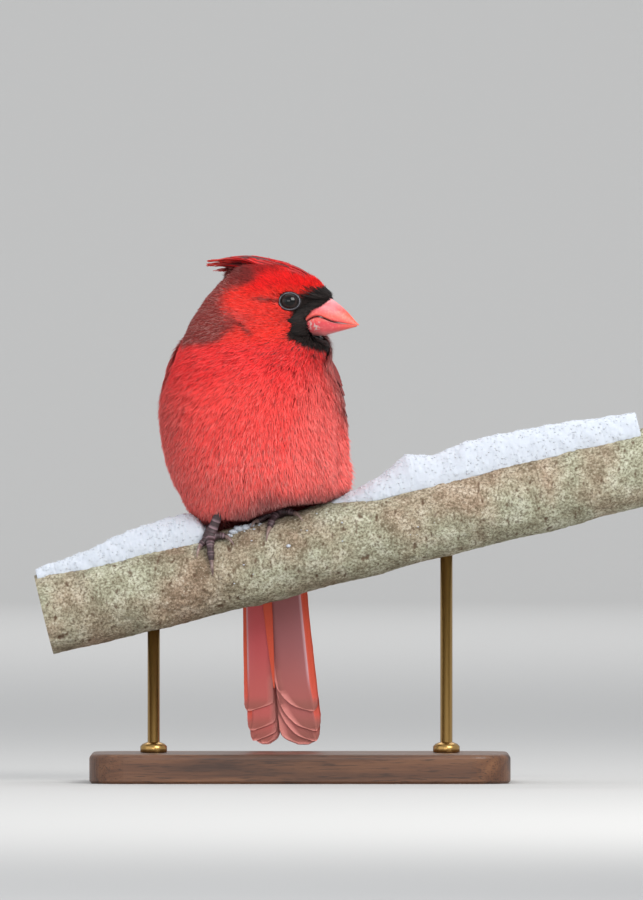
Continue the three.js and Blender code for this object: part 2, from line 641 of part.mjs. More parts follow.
function uprightCylinder(x, radius, low, high) {
  const place = new THREE.Matrix4().makeTranslation(x, 0, (low + high) / 2);
  const turn = new THREE.Matrix4().makeRotationX(Math.PI / 2);
  return geometrySolid(new THREE.CylinderGeometry(radius, radius, high - low, 16), place.multiply(turn));
}

function rodSpan(x) {
  const underside = BRANCH.axisHeight + Math.tan(slope) * x - BRANCH.radius / Math.cos(slope);
  return { low: PLINTH.height - ROD.depth, high: underside + ROD.depth };
}

// Building
const moved = (solid) => solid.transform(birdPlace.elements);
const rods = [-ROD.x, ROD.x];
const rodHoles = rods.map((x) => {
  const { low, high } = rodSpan(x);
  return uprightCylinder(x, ROD.radius + GAP, low - GAP, high + GAP);
});

const feet = Object.fromEntries(Object.entries(FEET).map(([name, foot]) => [name, footSolid(foot, 0)]));
const grownFeet = Object.values(FEET).map((foot) => footSolid(foot, GAP));
const footRooms = grownFeet.map((foot) => foot.hull());
const grownLegs = Object.values(FEET).map((foot) => legSolid(foot, GAP));
const grownBranch = branchSolid(GAP);
const grownForm = moved(formSolid(GAP));

const form = formSolid(0);
const billRoom = join([upperBill(GAP), lowerBill(GAP)]);
const headRoom = [eyeSolid(-1, GAP), eyeSolid(1, GAP), billRoom];
const headCore = form.intersect(above(HEAD_CUT, GAP / 2));
const head = cut(join([headCore, lidSolid(-1), lidSolid(1), ...crestVanes()]), ...headRoom);
const neck = cut(form.intersect(above(SHOULDER_CUT, GAP / 2)), above(HEAD_CUT, -GAP / 2), billRoom);
const lowerBody = cut(form, above(SHOULDER_CUT, -GAP / 2));
const torso = cut(moved(lowerBody), grownBranch, ...footRooms, ...grownLegs);

const legs = Object.fromEntries(
  Object.entries(FEET).map(([name, foot], i) => [name, cut(legSolid(foot, 0), grownFeet[i], grownBranch)]),
);
const wings = {
  right: moved(wingSolid(-1)),
  left: moved(wingSolid(1)),
};
const snowbanks = {
  left: snowSolid(SNOW.left, 19, 3),
  right: snowSolid(SNOW.right, 20, 8),
};

const STANDARD = {
  plumage: { color: 0xc8202a, roughness: 0.85 },
  wing: { color: 0x8c2a2c, roughness: 0.8 },
  tail: { color: 0xa84a48, roughness: 0.75 },
  bill: { color: 0xe8685a, roughness: 0.4 },
  eye: { color: 0x120c0c, roughness: 0.08 },
  leg: { color: 0x5a464a, roughness: 0.6 },
  bark: { color: 0xa09a82, roughness: 0.9 },
  snow: { color: 0xe6ebf0, roughness: 0.7 },
  plinth: { color: 0x4a3426, roughness: 0.45 },
  rod: { color: 0xb0894e, roughness: 0.3, metalness: 1 },
};

function piece(name, solid, finish) {
  const { vertProperties, triVerts, numProp } = largest(solid).getMesh();
  const places = range(vertProperties.length / numProp).flatMap((i) => [
    ...vertProperties.subarray(i * numProp, i * numProp + 3),
  ]);
  const geometry = new THREE.BufferGeometry();
  geometry.setAttribute("position", new THREE.Float32BufferAttribute(places, 3));
  geometry.setIndex([...triVerts]);
  geometry.computeVertexNormals();
  const made = new THREE.Mesh(geometry, new THREE.MeshStandardMaterial(STANDARD[finish]));
  made.name = name;
  return made;
}

const bird = new THREE.Group();
bird.add(
  piece("head", moved(head), "plumage"),
  piece("neck", moved(neck), "plumage"),
  piece("torso", torso, "plumage"),
  piece("bill_upper", moved(cut(upperBill(0), ...nostrils())), "bill"),
  piece("bill_lower", moved(lowerBill(0)), "bill"),
  piece("tail", cut(moved(tailSolid()), grownForm, grownBranch), "tail"),
);
for (const [name, side] of [
  ["right", -1],
  ["left", 1],
]) {
  bird.add(
    piece(`eye_${name}`, moved(eyeSolid(side, 0)), "eye"),
    piece(`wing_${name}`, cut(wings[name], grownForm), "wing"),
    piece(`leg_${name}`, legs[name], "leg"),
    piece(`foot_${name}`, cut(feet[name], grownBranch), "leg"),
  );
}

const perch = new THREE.Group();
perch.add(piece("perch_branch", cut(branchSolid(0), ...rodHoles), "bark"));
for (const [name, bank] of Object.entries(snowbanks)) {
  perch.add(piece(`perch_snow_${name}`, cut(bank, grownBranch, grownForm, ...footRooms), "snow"));
}

const stand = new THREE.Group();
stand.add(piece("stand_plinth", cut(plinthSolid(), ...rodHoles), "plinth"));
for (const [i, x] of rods.entries()) {
  const name = ["left", "right"][i];
  const { low, high } = rodSpan(x);
  const collar = uprightCylinder(x, COLLAR.radius, PLINTH.height + GAP, PLINTH.height + GAP + COLLAR.height);
  stand.add(piece(`stand_rod_${name}`, join([uprightCylinder(x, ROD.radius, low, high), collar]), "rod"));
}

const cardinal = new THREE.Group();
cardinal.add(bird, perch, stand);

export default cardinal;
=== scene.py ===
# %% [markdown]
# # A male northern cardinal on a snowy branch
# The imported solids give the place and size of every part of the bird, its perch and its stand. This
# notebook dresses them: a skin with a coat of small feathers, wings and tail feather by feather, a glossy
# bill and eye, scaly feet, bark, snow and a plain plinth. Lengths are millimetres until a mesh is built,
# because a bird's sizes read well so.

import bpy
import numpy as np
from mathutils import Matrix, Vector, noise
from mathutils.bvhtree import BVHTree


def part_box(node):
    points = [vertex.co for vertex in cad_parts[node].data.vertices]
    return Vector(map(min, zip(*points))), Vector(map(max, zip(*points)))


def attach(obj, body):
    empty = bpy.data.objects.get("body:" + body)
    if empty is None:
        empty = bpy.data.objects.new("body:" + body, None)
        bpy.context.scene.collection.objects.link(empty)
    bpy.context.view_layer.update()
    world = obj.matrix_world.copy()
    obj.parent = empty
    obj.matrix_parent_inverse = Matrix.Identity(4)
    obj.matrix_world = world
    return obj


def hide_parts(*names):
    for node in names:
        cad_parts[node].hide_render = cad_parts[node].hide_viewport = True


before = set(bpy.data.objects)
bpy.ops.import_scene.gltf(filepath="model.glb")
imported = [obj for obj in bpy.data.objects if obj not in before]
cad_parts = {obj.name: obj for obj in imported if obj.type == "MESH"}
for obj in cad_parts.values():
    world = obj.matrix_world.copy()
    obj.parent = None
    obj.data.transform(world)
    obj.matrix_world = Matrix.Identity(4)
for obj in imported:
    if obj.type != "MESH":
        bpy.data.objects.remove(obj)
scene = bpy.context.scene
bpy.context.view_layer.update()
MM = 0.001
BODY = "root"
print("solids:", len(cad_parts))

# %% [markdown]
# The bird is built in its own frame, where it faces -y and its bill points along +x, then turned a little
# and moved onto the perch. Working in that frame keeps left and right alike, and two small functions go
# there and back.

# %% The bird's frame
BIRD_X, BIRD_TURN = -18.9, np.radians(-12)
FACE_Y = -3.0  # the head's mid plane


def vec(*parts):
    return np.array(parts, dtype=float)


def turn_about_z(p, angle):
    p = np.asarray(p, dtype=float)
    c, s = np.cos(angle), np.sin(angle)
    return np.stack([c * p[..., 0] - s * p[..., 1], s * p[..., 0] + c * p[..., 1], p[..., 2]], -1)


def to_world(p):
    return turn_about_z(p, BIRD_TURN) + vec(BIRD_X, 0, 0)


def to_bird(p):
    return turn_about_z(np.asarray(p, dtype=float) - vec(BIRD_X, 0, 0), -BIRD_TURN)


def unit(v):
    v = np.asarray(v, dtype=float)
    return v / np.maximum(np.linalg.norm(v, axis=-1, keepdims=True), 1e-9)


def ramp(x, low, high):
    t = np.clip((np.asarray(x, dtype=float) - low) / (high - low), 0, 1)
    return t * t * (3 - 2 * t)


def spot(u, v=0.0):
    """1 at the middle of a spot, falling away smoothly. u and v are distances as shares of its size."""
    return np.exp(-(u**2) - v**2)


def full_turn(count):
    return np.linspace(0, 2 * np.pi, count, endpoint=False)


def run_along(path):
    """How far each point of a path is from its start, along it."""
    return np.concatenate([[0], np.cumsum(np.linalg.norm(np.diff(path, axis=0), axis=1))])


print("bill tip in the part's frame:", to_world(vec(44.65, FACE_Y, 187)).round(1))

# %% [markdown]
# Meshes of many thousand faces are quickest to make from whole arrays. One function builds any mesh from
# points and faces, with colours, loose numbers and a UV map where a finish needs them.

# %% Mesh from arrays
def build(
    name, points, faces, material, colours=None, numbers=None, uv=None, uv_name="UVMap", smooth=True
):
    groups = [np.asarray(g, dtype=np.int32) for g in faces if len(g)]
    corners = np.concatenate([g.ravel() for g in groups])
    sizes = np.concatenate([np.full(len(g), g.shape[1]) for g in groups])
    mesh = bpy.data.meshes.new(name)
    mesh.vertices.add(len(points))
    mesh.vertices.foreach_set("co", (np.asarray(points) * MM).ravel())
    mesh.loops.add(len(corners))
    mesh.loops.foreach_set("vertex_index", corners)
    mesh.polygons.add(len(sizes))
    mesh.polygons.foreach_set("loop_start", np.concatenate([[0], np.cumsum(sizes)[:-1]]))
    mesh.polygons.foreach_set("use_smooth", np.full(len(sizes), smooth))
    mesh.update(calc_edges=True)
    if colours is not None:
        layer = mesh.color_attributes.new("tint", "FLOAT_COLOR", "POINT")
        layer.data.foreach_set("color", np.column_stack([colours, np.ones(len(points))]).ravel())
    for key, values in (numbers or {}).items():
        layer = mesh.attributes.new(key, "FLOAT", "POINT")
        layer.data.foreach_set("value", np.asarray(values, dtype=float))
    if uv is not None:
        mesh.uv_layers.new(name=uv_name).uv.foreach_set("vector", np.asarray(uv)[corners].ravel())
    mesh.materials.append(material)
    thing = bpy.data.objects.new(name, mesh)
    scene.collection.objects.link(thing)
    return thing


def sheet(rows, columns, closed=False, start=0):
    """Quads between the points of a grid. A closed one joins its last column to its first."""
    r, c = np.meshgrid(np.arange(rows - 1), np.arange(columns if closed else columns - 1), indexing="ij")
    a, b = r * columns + c, r * columns + (c + 1) % columns
    return start + np.stack([a, b, b + columns, a + columns], -1).reshape(-1, 4)


def closed_body(rings, first, last):
    """Points and faces of a body from rings of equal size, closed by fans to a point at each end."""
    rings = np.asarray(rings)
    rows, columns = rings.shape[:2]
    k = np.arange(columns)
    after = (k + 1) % columns
    last_ring = (rows - 1) * columns
    near_fan = np.stack([np.full(columns, rows * columns), after, k], -1)
    far_fan = np.stack([np.full(columns, rows * columns + 1), last_ring + k, last_ring + after], -1)
    points = np.concatenate([rings.reshape(-1, 3), [first, last]])
    return points, [sheet(rows, columns, closed=True), near_fan, far_fan]


def flipped(faces):
    """The same faces looking the other way."""
    return [group[:, ::-1] for group in faces]


def dress(thing, slot, *nodes):
    """Rides the piece on the part and hides the solids that it stands for."""
    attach(thing, BODY)
    if nodes:
        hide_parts(*nodes)
    return thing


_, trial_faces = closed_body(np.zeros((3, 8, 3)), vec(0, 0, 0), vec(0, 0, 1))
print("three rings of eight points make", sum(len(group) for group in trial_faces), "faces")

# %% [markdown]
# Finishes share one small helper: a Principled shader whose sockets are set by name, and a way to add
# nodes to it. Colours are given as they would be read off a screen, and turned to the linear numbers that
# a shader wants.

# %% Shader helper
def linear(r, g, b):
    c = np.array([r, g, b], dtype=float) / 255
    return np.where(c <= 0.04045, c / 12.92, ((c + 0.055) / 1.055) ** 2.4)


class Finish:
    def __init__(self, name, **sockets):
        self.material = bpy.data.materials.new(name)
        self.material.use_nodes = True
        self.tree = self.material.node_tree
        self.shader = self.tree.nodes["Principled BSDF"]
        for key, value in sockets.items():
            self.shader.inputs[key.replace("_", " ").title().replace("Ior", "IOR")].default_value = value

    def node(self, kind, settings=None, **inputs):
        made = self.tree.nodes.new("ShaderNode" + kind)
        for key, value in (settings or {}).items():
            setattr(made, key, value)
        for key, value in inputs.items():
            self.put(made.inputs[key.replace("_", " ")], value)
        return made

    def put(self, socket, value):
        if isinstance(value, bpy.types.NodeSocket):
            self.tree.links.new(value, socket)
        else:
            socket.default_value = value

    def mix(self, share, low, high, blend="MIX"):
        made = self.tree.nodes.new("ShaderNodeMix")
        made.data_type, made.blend_type = "RGBA", blend
        for place, value in ((0, share), (6, low), (7, high)):
            if isinstance(value, np.ndarray):
                value = (*value, 1.0)
            self.put(made.inputs[place], value)
        return made.outputs[2]

    def ramp(self, value, *stops):
        made = self.tree.nodes.new("ShaderNodeValToRGB")
        self.put(made.inputs[0], value)
        while len(made.color_ramp.elements) < len(stops):
            made.color_ramp.elements.new(0.5)
        for element, (place, colour) in zip(made.color_ramp.elements, stops):
            element.position = place
            colour = np.full(3, colour) if np.isscalar(colour) else colour
            element.color = (*colour, 1.0)
        return made.outputs[0]

    def bump(self, height, distance_mm, strength=1.0):
        made = self.node("Bump", Height=height, Distance=distance_mm * MM, Strength=strength)
        self.put(self.shader.inputs["Normal"], made.outputs[0])

    def colour(self, value):
        self.put(self.shader.inputs["Base Color"], value)

    def place(self):
        return self.node("TexCoord").outputs["Object"]

    def attribute(self, name, output="Fac"):
        return self.node("Attribute", {"attribute_name": name}).outputs[output]

    def sine(self, value, factor):
        """A wave along a value, for stripes and rings."""
        scaled = self.node("Math", {"operation": "MULTIPLY"})
        self.put(scaled.inputs[0], value)
        self.put(scaled.inputs[1], factor)
        wave = self.node("Math", {"operation": "SINE"})
        self.put(wave.inputs[0], scaled.outputs[0])
        return wave.outputs[0]


print("a screen grey of 128 is", linear(128, 128, 128)[0].round(3), "in linear light")

# %% [markdown]
# The camera looks level along +Y from far away with a long lens, as the photo does, so that the near and
# far claws are almost the same size. The stage is a pale floor that curves up into a pale wall. Light is
# soft and comes from all round, as under a bright overcast sky: a large lamp in front and a little to the
# right, a weaker one on the left, one from above, a low one in front for the glow that snow throws up,
# and a far one that lights only the wall.

# %% Camera, stage and light
VIEW = {"middle": vec(8.8, 0, 136.1), "height": 369.0, "distance": 8000.0}
FILM_HEIGHT = 24
STAGE = {"wide": 9000, "deep": 9500, "curve": 2000, "tall": 6000}
camera = bpy.data.objects.new("camera", bpy.data.cameras.new("camera"))
scene.collection.objects.link(camera)
camera.location = (VIEW["middle"] - vec(0, VIEW["distance"], 0)) * MM
camera.rotation_euler = (np.pi / 2, 0, 0)
camera.data.sensor_fit = "VERTICAL"
camera.data.sensor_height = FILM_HEIGHT
camera.data.lens = FILM_HEIGHT * VIEW["distance"] / VIEW["height"]
camera.data.clip_end = 50
scene.camera = camera
scene.view_settings.view_transform = "Standard"

paper = Finish("stage paper", base_color=(0.5, 0.495, 0.485, 1), roughness=0.9)
profile = [(-STAGE["deep"], 0), (STAGE["deep"], 0)]
for a in np.linspace(0.05, np.pi / 2, 20):
    profile.append((STAGE["deep"] + STAGE["curve"] * np.sin(a), STAGE["curve"] * (1 - np.cos(a))))
profile.append((STAGE["deep"] + STAGE["curve"], STAGE["tall"]))
corners = [(x, y, z - 0.05) for y, z in profile for x in (-STAGE["wide"], STAGE["wide"])]
stage_points = np.array(corners, dtype=float)
stage = build("stage", stage_points, [sheet(len(profile), 2)], paper.material)

world = bpy.data.worlds.new("sky")
world.use_nodes = True
world.node_tree.nodes["Background"].inputs["Color"].default_value = (0.93, 0.96, 1.0, 1)
world.node_tree.nodes["Background"].inputs["Strength"].default_value = 0.72
scene.world = world


def lamp(name, place, size, power, colour=(1, 1, 1), target=VIEW["middle"]):
    light = bpy.data.lights.new(name, "AREA")
    light.shape, light.size, light.size_y = "RECTANGLE", size[0] * MM, size[1] * MM
    light.energy, light.color = power, colour
    thing = bpy.data.objects.new(name, light)
    thing.location = vec(*place) * MM
    aim = Vector(np.asarray(target) - vec(*place))
    thing.rotation_euler = aim.to_track_quat("-Z", "Y").to_euler()
    scene.collection.objects.link(thing)


lamp("key", (650, -1100, 900), (700, 700), 15, (1, 0.99, 0.97))
lamp("fill", (-1000, -900, 300), (1200, 1200), 3.5, (0.93, 0.96, 1))
lamp("top", (0, 300, 1300), (1400, 1000), 6)
lamp("low", (-300, -2700, 600), (1200, 800), 9, (0.97, 0.98, 1), target=(0, 0, 60))
lamp("backdrop", (0, 6000, 5600), (5000, 4000), 230, target=(0, 8500, 0))
print("camera sees", VIEW["height"], "mm from top to bottom")

# %% [markdown]
# A bird's skin and the outline of its plumage are two surfaces, a few millimetres apart. The solids give
# the outer one. Rays cast inwards at even heights and angles find it, and the result is a grid that is
# easy to smooth, to push inwards by the depth of the coat, and to unwrap: the angle round is one way of
# the map and the way up the other.

# %% Find the plumage's outline
def solid_mesh(*names):
    points, triangles, start = [], [], 0
    for name in names:
        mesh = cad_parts[name].data
        co = np.empty(len(mesh.vertices) * 3)
        mesh.vertices.foreach_get("co", co)
        co = co.reshape(-1, 3)
        matrix = np.array(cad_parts[name].matrix_world)
        co = (co @ matrix[:3, :3].T + matrix[:3, 3]) / MM
        mesh.calc_loop_triangles()
        tri = np.empty(len(mesh.loop_triangles) * 3, dtype=np.int32)
        mesh.loop_triangles.foreach_get("vertices", tri)
        points.append(co)
        triangles.append(tri.reshape(-1, 3) + start)
        start += len(co)
    return np.concatenate(points), np.concatenate(triangles)


def tree_of(*names):
    points, triangles = solid_mesh(*names)
    return BVHTree.FromPolygons(points.tolist(), triangles.tolist())


flesh_points, flesh_triangles = solid_mesh("head", "neck", "torso")
flesh_bird = to_bird(flesh_points)
flesh_tree = tree_of("head", "neck", "torso")
LEVELS = np.concatenate([np.arange(84.3, 206, 1.0), np.arange(206, 214.9, 0.6), [214.9]])
ANGLE_STEP = 2.5
ANGLES = np.arange(0, 360, ANGLE_STEP)
RAY_START = 90  # further out than the plumage reaches anywhere
CROWN = vec(3.4, FACE_Y)  # where the top of the head is, without the crest
DOME_START = 205.0


def slice_middle(z):
    """The middle of the solids' cut at a height, from the edges that cross it."""
    a, b = flesh_bird[flesh_triangles], flesh_bird[np.roll(flesh_triangles, 1, axis=1)]
    crossing = (a[..., 2] - z) * (b[..., 2] - z) < 0
    a, b = a[crossing], b[crossing]
    cut = a + (b - a) * ((z - a[:, 2]) / (b[:, 2] - a[:, 2]))[:, None]
    return (cut[:, :2].min(0) + cut[:, :2].max(0)) / 2


middles = []
for z in LEVELS:
    if z < DOME_START:
        middles.append(slice_middle(z))
    else:
        share = (z - DOME_START) / (LEVELS[-1] - DOME_START)
        below = middles[int(np.searchsorted(LEVELS, DOME_START)) - 1]
        middles.append(below + (CROWN - below) * share)
middles = np.array(middles)
kernel = np.ones(7) / 7
middles = np.column_stack(
    [np.convolve(np.pad(middles[:, k], 3, mode="edge"), kernel, "valid") for k in (0, 1)]
)

reach = np.zeros((len(LEVELS), len(ANGLES)))
outward = np.stack([np.cos(np.radians(ANGLES)), np.sin(np.radians(ANGLES)), 0 * ANGLES], -1)
for i, z in enumerate(LEVELS):
    middle = vec(*middles[i], z)
    for k, way in enumerate(outward):
        start = to_world(middle + RAY_START * way)
        hit = flesh_tree.ray_cast(Vector(start), Vector(turn_about_z(-way, BIRD_TURN)))
        reach[i, k] = RAY_START - hit[3] if hit[0] else 0
print("levels", len(LEVELS), "angles", len(ANGLES), "misses", int((reach == 0).sum()))

# %% [markdown]
# The raw reach still holds the crest, the eye sockets and the facets of the solids. The crest leans back
# over one side of the crown, so the other side's reach is mirrored there. The sockets are filled from
# round about them, and a light blur takes the facets out.

# %% Crown and eye sockets
mirrored = reach[:, (np.round((180 - ANGLES) / ANGLE_STEP).astype(int)) % len(ANGLES)]
crown_rows = LEVELS > 206.5
reach[crown_rows] = np.minimum(reach[crown_rows], mirrored[crown_rows] + 0.4)


def blur(grid, rounds):
    """Every value is averaged with its neighbours round and up, but for the two end rows."""
    for _ in range(rounds):
        wide = (np.roll(grid, 1, 1) + 2 * grid + np.roll(grid, -1, 1)) / 4
        grid = wide.copy()
        grid[1:-1] = (wide[:-2] + 2 * wide[1:-1] + wide[2:]) / 4
    return grid


def outline_at():
    """Where the outline is, seen from above, for every level and angle."""
    return middles[:, None, :] + reach[..., None] * outward[None, :, :2]


EYE = {"across": 4.05, "deep": 2.7, "x": 18.4, "z": 196.95, "surface": 13.1, "sunk": 0.95, "squash": 0.87}
broad = blur(reach, 40)
for side in (-1, 1):
    at = outline_at()
    away = np.hypot(at[..., 0] - EYE["x"], (LEVELS[:, None] - EYE["z"]) * np.ones_like(reach))
    near_eye = (away < 6) & (np.sign(at[..., 1] - FACE_Y) == side)
    reach = np.where(near_eye, np.maximum(reach, broad), reach)
reach = blur(np.maximum(reach, 2.0), 2)
fluff = spot((LEVELS[:, None] - 107) / 9, (ANGLES[None] - 190) / 40)
reach = reach + 2.1 * fluff  # the fluffed lower flank
print("widest reach:", reach.max().round(1), "mm")

# %% [markdown]
# The bill comes out of the feathers along a curved line. The solids' head runs on under the bill, so the
# plumage is drawn back to that line, which is a table of heights and of how far along the head the
# feathers end.

# %% The edge of the feathers at the bill
BILL_EDGE = np.array([
    (181.3, 36), (182.4, 25.8), (183.5, 24.6), (185, 23.6), (186.5, 24.2), (187.6, 24.4),
    (189.2, 22.6), (191.1, 24.8), (193, 26), (194.4, 28.2), (196.4, 30.7), (198, 32.3), (199.3, 33.6),
    (200.4, 36),
])
at = outline_at()
edge_x = (
    np.interp(LEVELS, *BILL_EDGE.T)[:, None] - 1.2
    + 4 * ramp(LEVELS, 190, 194)[:, None]
)
edge_x = edge_x + 2.2 * np.maximum(0, np.abs(at[..., 1] - FACE_Y) - 6.6)
ahead = (at[..., 0] > edge_x) & (outward[None, :, 0] > 0.2)
back_to = (edge_x - middles[:, :1]) / np.maximum(outward[None, :, 0], 0.2)
reach = blur(np.where(ahead, np.maximum(back_to, 4), reach), 1)
print("columns drawn back from the bill:", int(ahead.any(0).sum()))

# %% [markdown]
# Now the grid becomes points with normals, and a copy pushed inwards by the depth of the coat is the
# skin. A small function reads any such grid between its points, because feathers root everywhere.

# %% Skin under the outline
DOME = {"from": 211, "flat": 0.68}  # the dome is pressed a little flat, which leaves room for the crest
heights = np.where(LEVELS > DOME["from"], DOME["from"] + DOME["flat"] * (LEVELS - DOME["from"]), LEVELS)
outline = to_world(np.dstack([outline_at(), np.broadcast_to(heights[:, None], reach.shape)]))
round_way = np.roll(outline, -1, 1) - np.roll(outline, 1, 1)
outline_normals = unit(np.cross(round_way, np.gradient(outline, axis=0)))
bird_outline = to_bird(outline)
from_bill = np.linalg.norm(bird_outline - vec(30, FACE_Y, 190), axis=-1)
COAT = {"body": 2.6, "head": 1.5, "face": 0.6}
depth = COAT["body"] + (COAT["head"] - COAT["body"]) * ramp(bird_outline[..., 2], 174, 194)
depth = depth + (COAT["face"] - depth) * (1 - ramp(from_bill, 9, 17))
skin_points = outline - outline_normals * depth[..., None]
climb = np.linalg.norm(np.diff(skin_points, axis=0), axis=-1).mean(1)
way_up = np.concatenate([[0], np.cumsum(climb)]) / climb.sum()
print("coat", depth.min().round(2), "to", depth.max().round(2), "mm deep")


def on_grid(grid, angle, level_index):
    """Values of a grid at angles in degrees and fractional level numbers."""
    k = (np.asarray(angle) / ANGLE_STEP) % len(ANGLES)
    i = np.clip(level_index, 0, len(LEVELS) - 1.001)
    k0, i0 = np.floor(k).astype(int), np.floor(i).astype(int)
    u, v = k - k0, i - i0
    k1 = (k0 + 1) % len(ANGLES)
    k0 = k0 % len(ANGLES)
    if grid.ndim == 3:
        u, v = u[..., None], v[..., None]
    low = grid[i0, k0] * (1 - u) + grid[i0, k1] * u
    high = grid[i0 + 1, k0] * (1 - u) + grid[i0 + 1, k1] * u
    return low * (1 - v) + high * v


def level_of(z):
    return np.interp(z, LEVELS, np.arange(len(LEVELS)))


def skin_map(angle, level):
    """Places on the skin's map for angles in degrees and fractional level numbers."""
    up_share = np.interp(level, np.arange(len(LEVELS)), way_up)
    return np.stack([0.01 + 0.98 * angle / 360, 0.01 + 0.98 * up_share], -1)


# %% [markdown]
# A cock cardinal is red all over, but not one red: the crown is purest, cheeks lean to orange, breast and
# flanks are paler where feather tips wear to pink, the nape and back are dusky, and a black mask rings
# the bill. Some of the differences are painted light and shade: the left flank is darker with painted
# shade and the right one paler with painted light, partly their own colour, and the lower belly, its
# lower edge over the branch and the crease between cheek and neck are darkened with painted shade. One
# function gives the colour at any place, so that the skin and every feather on it agree.

# %% Markings
RED = {
    "crown": linear(232, 2, 6),
    "crest": linear(138, 4, 8),
    "cheek": linear(240, 42, 30),
    "collar": linear(236, 44, 46),
    "breast": linear(250, 66, 62),
    "belly": linear(244, 88, 82),
    # the next two: darker reds for painted shade on the lower belly and along its lower edge over the
    # branch
    "vent": linear(150, 72, 70),
    "hem": linear(96, 48, 50),
    # the flanks: partly their own colour, partly painted shade on the left one and painted light on the
    # right one
    "flank_left_shaded": linear(206, 74, 70),
    "flank_right_lit": linear(248, 104, 98),
    "nape": linear(104, 32, 30),
    "back": linear(112, 44, 42),
    "mask": linear(22, 18, 17),
}
# Front edge of the dusky nape: heights, and how far along the head it reaches there
NAPE_EDGE = np.array([
    (174, -26), (177, -19), (180, -10.5), (183, -6), (186.3, -3), (190, -6), (195.6, -10),
    (200.4, -8.5), (203.6, 0), (206, 3.5), (209, 3), (212, 0), (215, -3),
])
# Rear edge of the mask, seen from the side: heights, and how far along the head it starts there
MASK_EDGE = np.array([
    (174.4, 40), (175.2, 33), (176.2, 29), (177.7, 24.8), (179.5, 21.2), (181, 17.6), (183, 17.2),
    (185, 19.2), (187, 20.8), (189.5, 19.8), (192, 18.8), (194.5, 19.8), (197, 21.4), (199.5, 21.4),
    (200.2, 23.5), (200.8, 26.6), (201.6, 28), (203.2, 30), (205.2, 33),
])
# Lower edge of the belly, seen from in front: places from left to right, and heights
HEM = np.array([
    (-60, 104), (-37.3, 106.2), (-30.3, 107.4), (-21.3, 107.2), (-13.8, 111), (-4, 113.2),
    (10.3, 114.6), (15.6, 116.3), (30, 119),
])


def rough(points, scale, seed=0.0):
    """Soft noise from -1 to 1 at each point."""
    return np.array(
        [noise.noise(Vector((p[0] / scale + seed, p[1] / scale, p[2] / scale))) for p in points]
    )


def mixed(low, high, share):
    return low + (high - low) * np.clip(share, 0, 1)[:, None]


def plumage_colour(points):
    """The colour at places in the part's frame: washes of one red after another, each with its share."""
    p = to_bird(points)
    x, y, z = p.T
    patch = rough(p, 9, 3.1)
    fine = rough(p, 2.2, 7.7)
    nape_x = np.interp(z, *NAPE_EDGE.T) + 2.6 * patch + 3 * fine
    reaches_down = 178 - 1.3 * np.maximum(0, y - 2) + 3 * patch
    behind_head = ramp(nape_x - x, -3, 3.5) * ramp(z, reaches_down - 3, reaches_down + 3)
    above_hem = np.maximum(points[:, 2] - np.interp(points[:, 0], *HEM.T), 0)
    # painted shade just above the belly's lower edge, over the branch
    belly_edge_shade_height = 2.4 + 4.5 * spot((points[:, 0] + 15) / 8) + 0.8 * fine
    belly_edge_shade = spot(above_hem / belly_edge_shade_height) * ramp(points[:, 0], -31, -24) * (points[:, 1] < 5)
    ear = spot((x + 4) / 6, (z - 198.5) / 3.5)
    grey_patch = spot((x + 3) / 6, (z - 190.3 + 0.3 * (x + 3)) / 2.6)
    # painted shade in the crease between cheek and neck
    crease_shade = np.exp(-(((z - 188.3) + 0.7 * (x + 3.5)) ** 2) / 1.3) * ramp(x, -8, -4)
    crease_shade = crease_shade * (1 - ramp(x, 2.5, 5))
    eye_line = np.exp(-(((z - 197.6) + 0.08 * (x - 8)) ** 2) / 0.8) * ramp(x, 1, 6)
    eye_line = eye_line * (1 - ramp(x, 13, 16))
    under_eye = spot((x - 16.5) / 3.5, (z - 190) / 3)
    edge = np.interp(z, *MASK_EDGE.T, left=60, right=60)
    washes = [
        ("collar", ramp(z + 5 * patch + 0.25 * np.abs(x), 158, 172)),
        ("belly", 1 - ramp(z + 6 * patch, 114, 140)),
        # the flanks: partly their own colour, partly painted shade on the left and painted light on the
        # right
        ("flank_left_shaded", 0.8 * ramp(-x + 4 * patch, 14, 34) * (1 - ramp(z, 150, 172))),
        ("flank_right_lit", 0.8 * ramp(x + 4 * patch, 16, 34) * (1 - ramp(z, 156, 176))),
        # the lower belly darker towards the bottom: painted shade
        ("vent", 0.85 * (1 - ramp(z + 3 * patch - 0.2 * x + 0.1 * np.abs(x), 105, 119))),
        ("cheek", ramp(z, 176, 184)),
        ("crown", ramp(z + 2.5 * patch - 0.1 * x, 198, 203) * ramp(x, -4, 6)),
        ("crest", 0.85 * ramp(z - 0.2 * x + 1.5 * fine, 204.5, 210.5) * (1 - ramp(x, 10, 20))),
        # the dusky nape from under the crest, and the back, which it runs into behind
        ("nape", 0.88 * behind_head),
        ("back", 0.95 * ramp(y + 3 * patch, 8, 17) * (1 - ramp(z, 178, 190))),
        # painted shade along the belly's lower edge in front, over the branch, tallest between the feet
        ("hem", 0.85 * belly_edge_shade),
        # bright streaks over the ear, and a greyish patch under them
        ("cheek", 0.75 * ear * (0.7 + 0.6 * fine)),
        ("flank_left_shaded", 0.7 * grey_patch * (0.8 + 0.6 * fine)),
        # painted shade in the crease between cheek and neck, a thin line behind the eye and a shade under
        # it
        ("nape", 0.9 * crease_shade),
        ("nape", 0.9 * eye_line),
        ("nape", 0.6 * under_eye * (0.5 + fine)),
        ("mask", ramp(x - edge + 1.3 * fine + 0.6 * patch, -0.5, 0.6)),
    ]
    colour = np.broadcast_to(RED["breast"], p.shape)
    for name, share in washes:
        colour = mixed(colour, RED[name], share)
    return colour * (1 + 0.12 * patch + 0.1 * fine)[:, None]


print("reds:", ", ".join(RED))

# %% [markdown]
# The skin itself hardly shows. It is the dark ground between the tufts, partly the darker down that lies
# under real feathers and partly painted shade deep in the coat, so it takes the same markings at about
# half their brightness.

